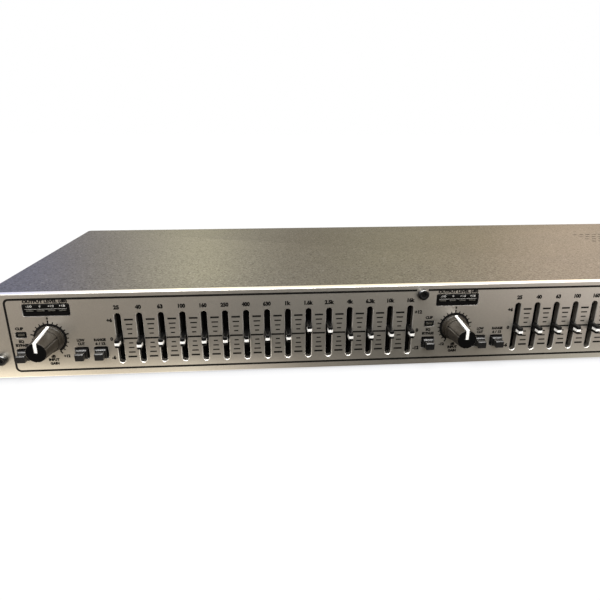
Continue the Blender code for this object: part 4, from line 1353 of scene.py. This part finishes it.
def add_world():
    """The camera sees white; reflections see a room that differs behind, in front and above."""
    world = bpy.data.worlds.new("studio")
    scene.world = world
    world.use_nodes = True
    world.node_tree.nodes.clear()
    sky = Nodes(world.node_tree, "Generated")
    output = sky.node("ShaderNodeOutputWorld")
    way = sky.split(sky.coord)
    behind = sky.ramp(sky.remap(way["X"], low=0.0, high=1.0, start=-0.5, end=0.65), SKY_BEHIND)
    before = sky.ramp(sky.remap(way["X"], low=0.0, high=1.0, start=-0.8, end=0.8), SKY_BEFORE)
    # the room behind is dim low down
    lift = sky.remap(way["Z"], low=0.30, high=1.62, start=0.17, end=0.32)
    grey = sky.node("ShaderNodeCombineXYZ", X=lift, Y=lift, Z=lift)
    behind = sky.mix(1.0, behind, grey.outputs[0], "MULTIPLY")
    depth = sky.remap(way["Y"], low=0.0, high=1.0, start=-0.25, end=0.25)
    walls = sky.mix(depth, before, behind)
    upward = sky.remap(way["Z"], low=0.0, high=1.0, start=0.45, end=0.85)
    room = sky.mix(upward, walls, (1.0, 0.98, 0.95))
    sky.end_by_ray(output,
                   unseen=sky.node("ShaderNodeBackground", Color=room, Strength=1.0),
                   seen=sky.node("ShaderNodeBackground", Color=(1.0, 1.0, 1.0), Strength=1.0))


add_world()


# ------------------------------------------------------------------ lights (metres)
def softbox(name, place, target, width, height, radiance, colour):
    """A rectangular light given by how bright its face looks."""
    light = bpy.data.lights.new(name, "AREA")
    light.energy = radiance * math.pi * width * height
    light.color = colour
    light.shape = "RECTANGLE"
    light.size = width
    light.size_y = height
    obj = add_object(name, light)
    obj.location = place
    aim = Vector(target) - Vector(place)
    obj.rotation_euler = aim.to_track_quat("-Z", "Y").to_euler()


softbox("front_softbox", place=(-0.10, -1.10, 0.62), target=(0, -0.05, 0.02), width=0.7,
        height=0.4, radiance=8.0, colour=(1.0, 0.98, 0.94))
softbox("overhead_softbox", place=(0.0, -0.55, 1.20), target=(0, -0.08, 0.02), width=2.0,
        height=0.46, radiance=7.0, colour=(1.0, 0.985, 0.96))

# ------------------------------------------------------------------ camera
CAMERA_X, CAMERA_BEFORE, CAMERA_ABOVE = -80.9, 231.33, 95.68  # from the face and mid height
# the camera's own directions in the scene
RIGHT = Vector((0.9969188934, -0.0784290592, 0.0012659894))
DOWN = Vector((-0.0243826329, -0.3251893018, -0.9453345467))
AHEAD = Vector((0.0745533854, 0.9423910020, -0.3260996658))


def add_camera():
    lens = bpy.data.cameras.new("camera")
    lens.sensor_width = 36.0
    lens.lens = 29.4828
    lens.shift_x = 0.0009
    lens.clip_start = 0.01
    lens.clip_end = 60
    camera = bpy.data.objects.new("camera", lens)
    turn = Matrix((RIGHT, -DOWN, -AHEAD)).transposed()
    place = point(CAMERA_X, FRONT_Y - CAMERA_BEFORE, from_mid(CAMERA_ABOVE))
    camera.matrix_world = Matrix.Translation(place) @ turn.to_4x4()
    scene.collection.objects.link(camera)
    scene.camera = camera


add_camera()
scene.view_settings.view_transform = "Standard"
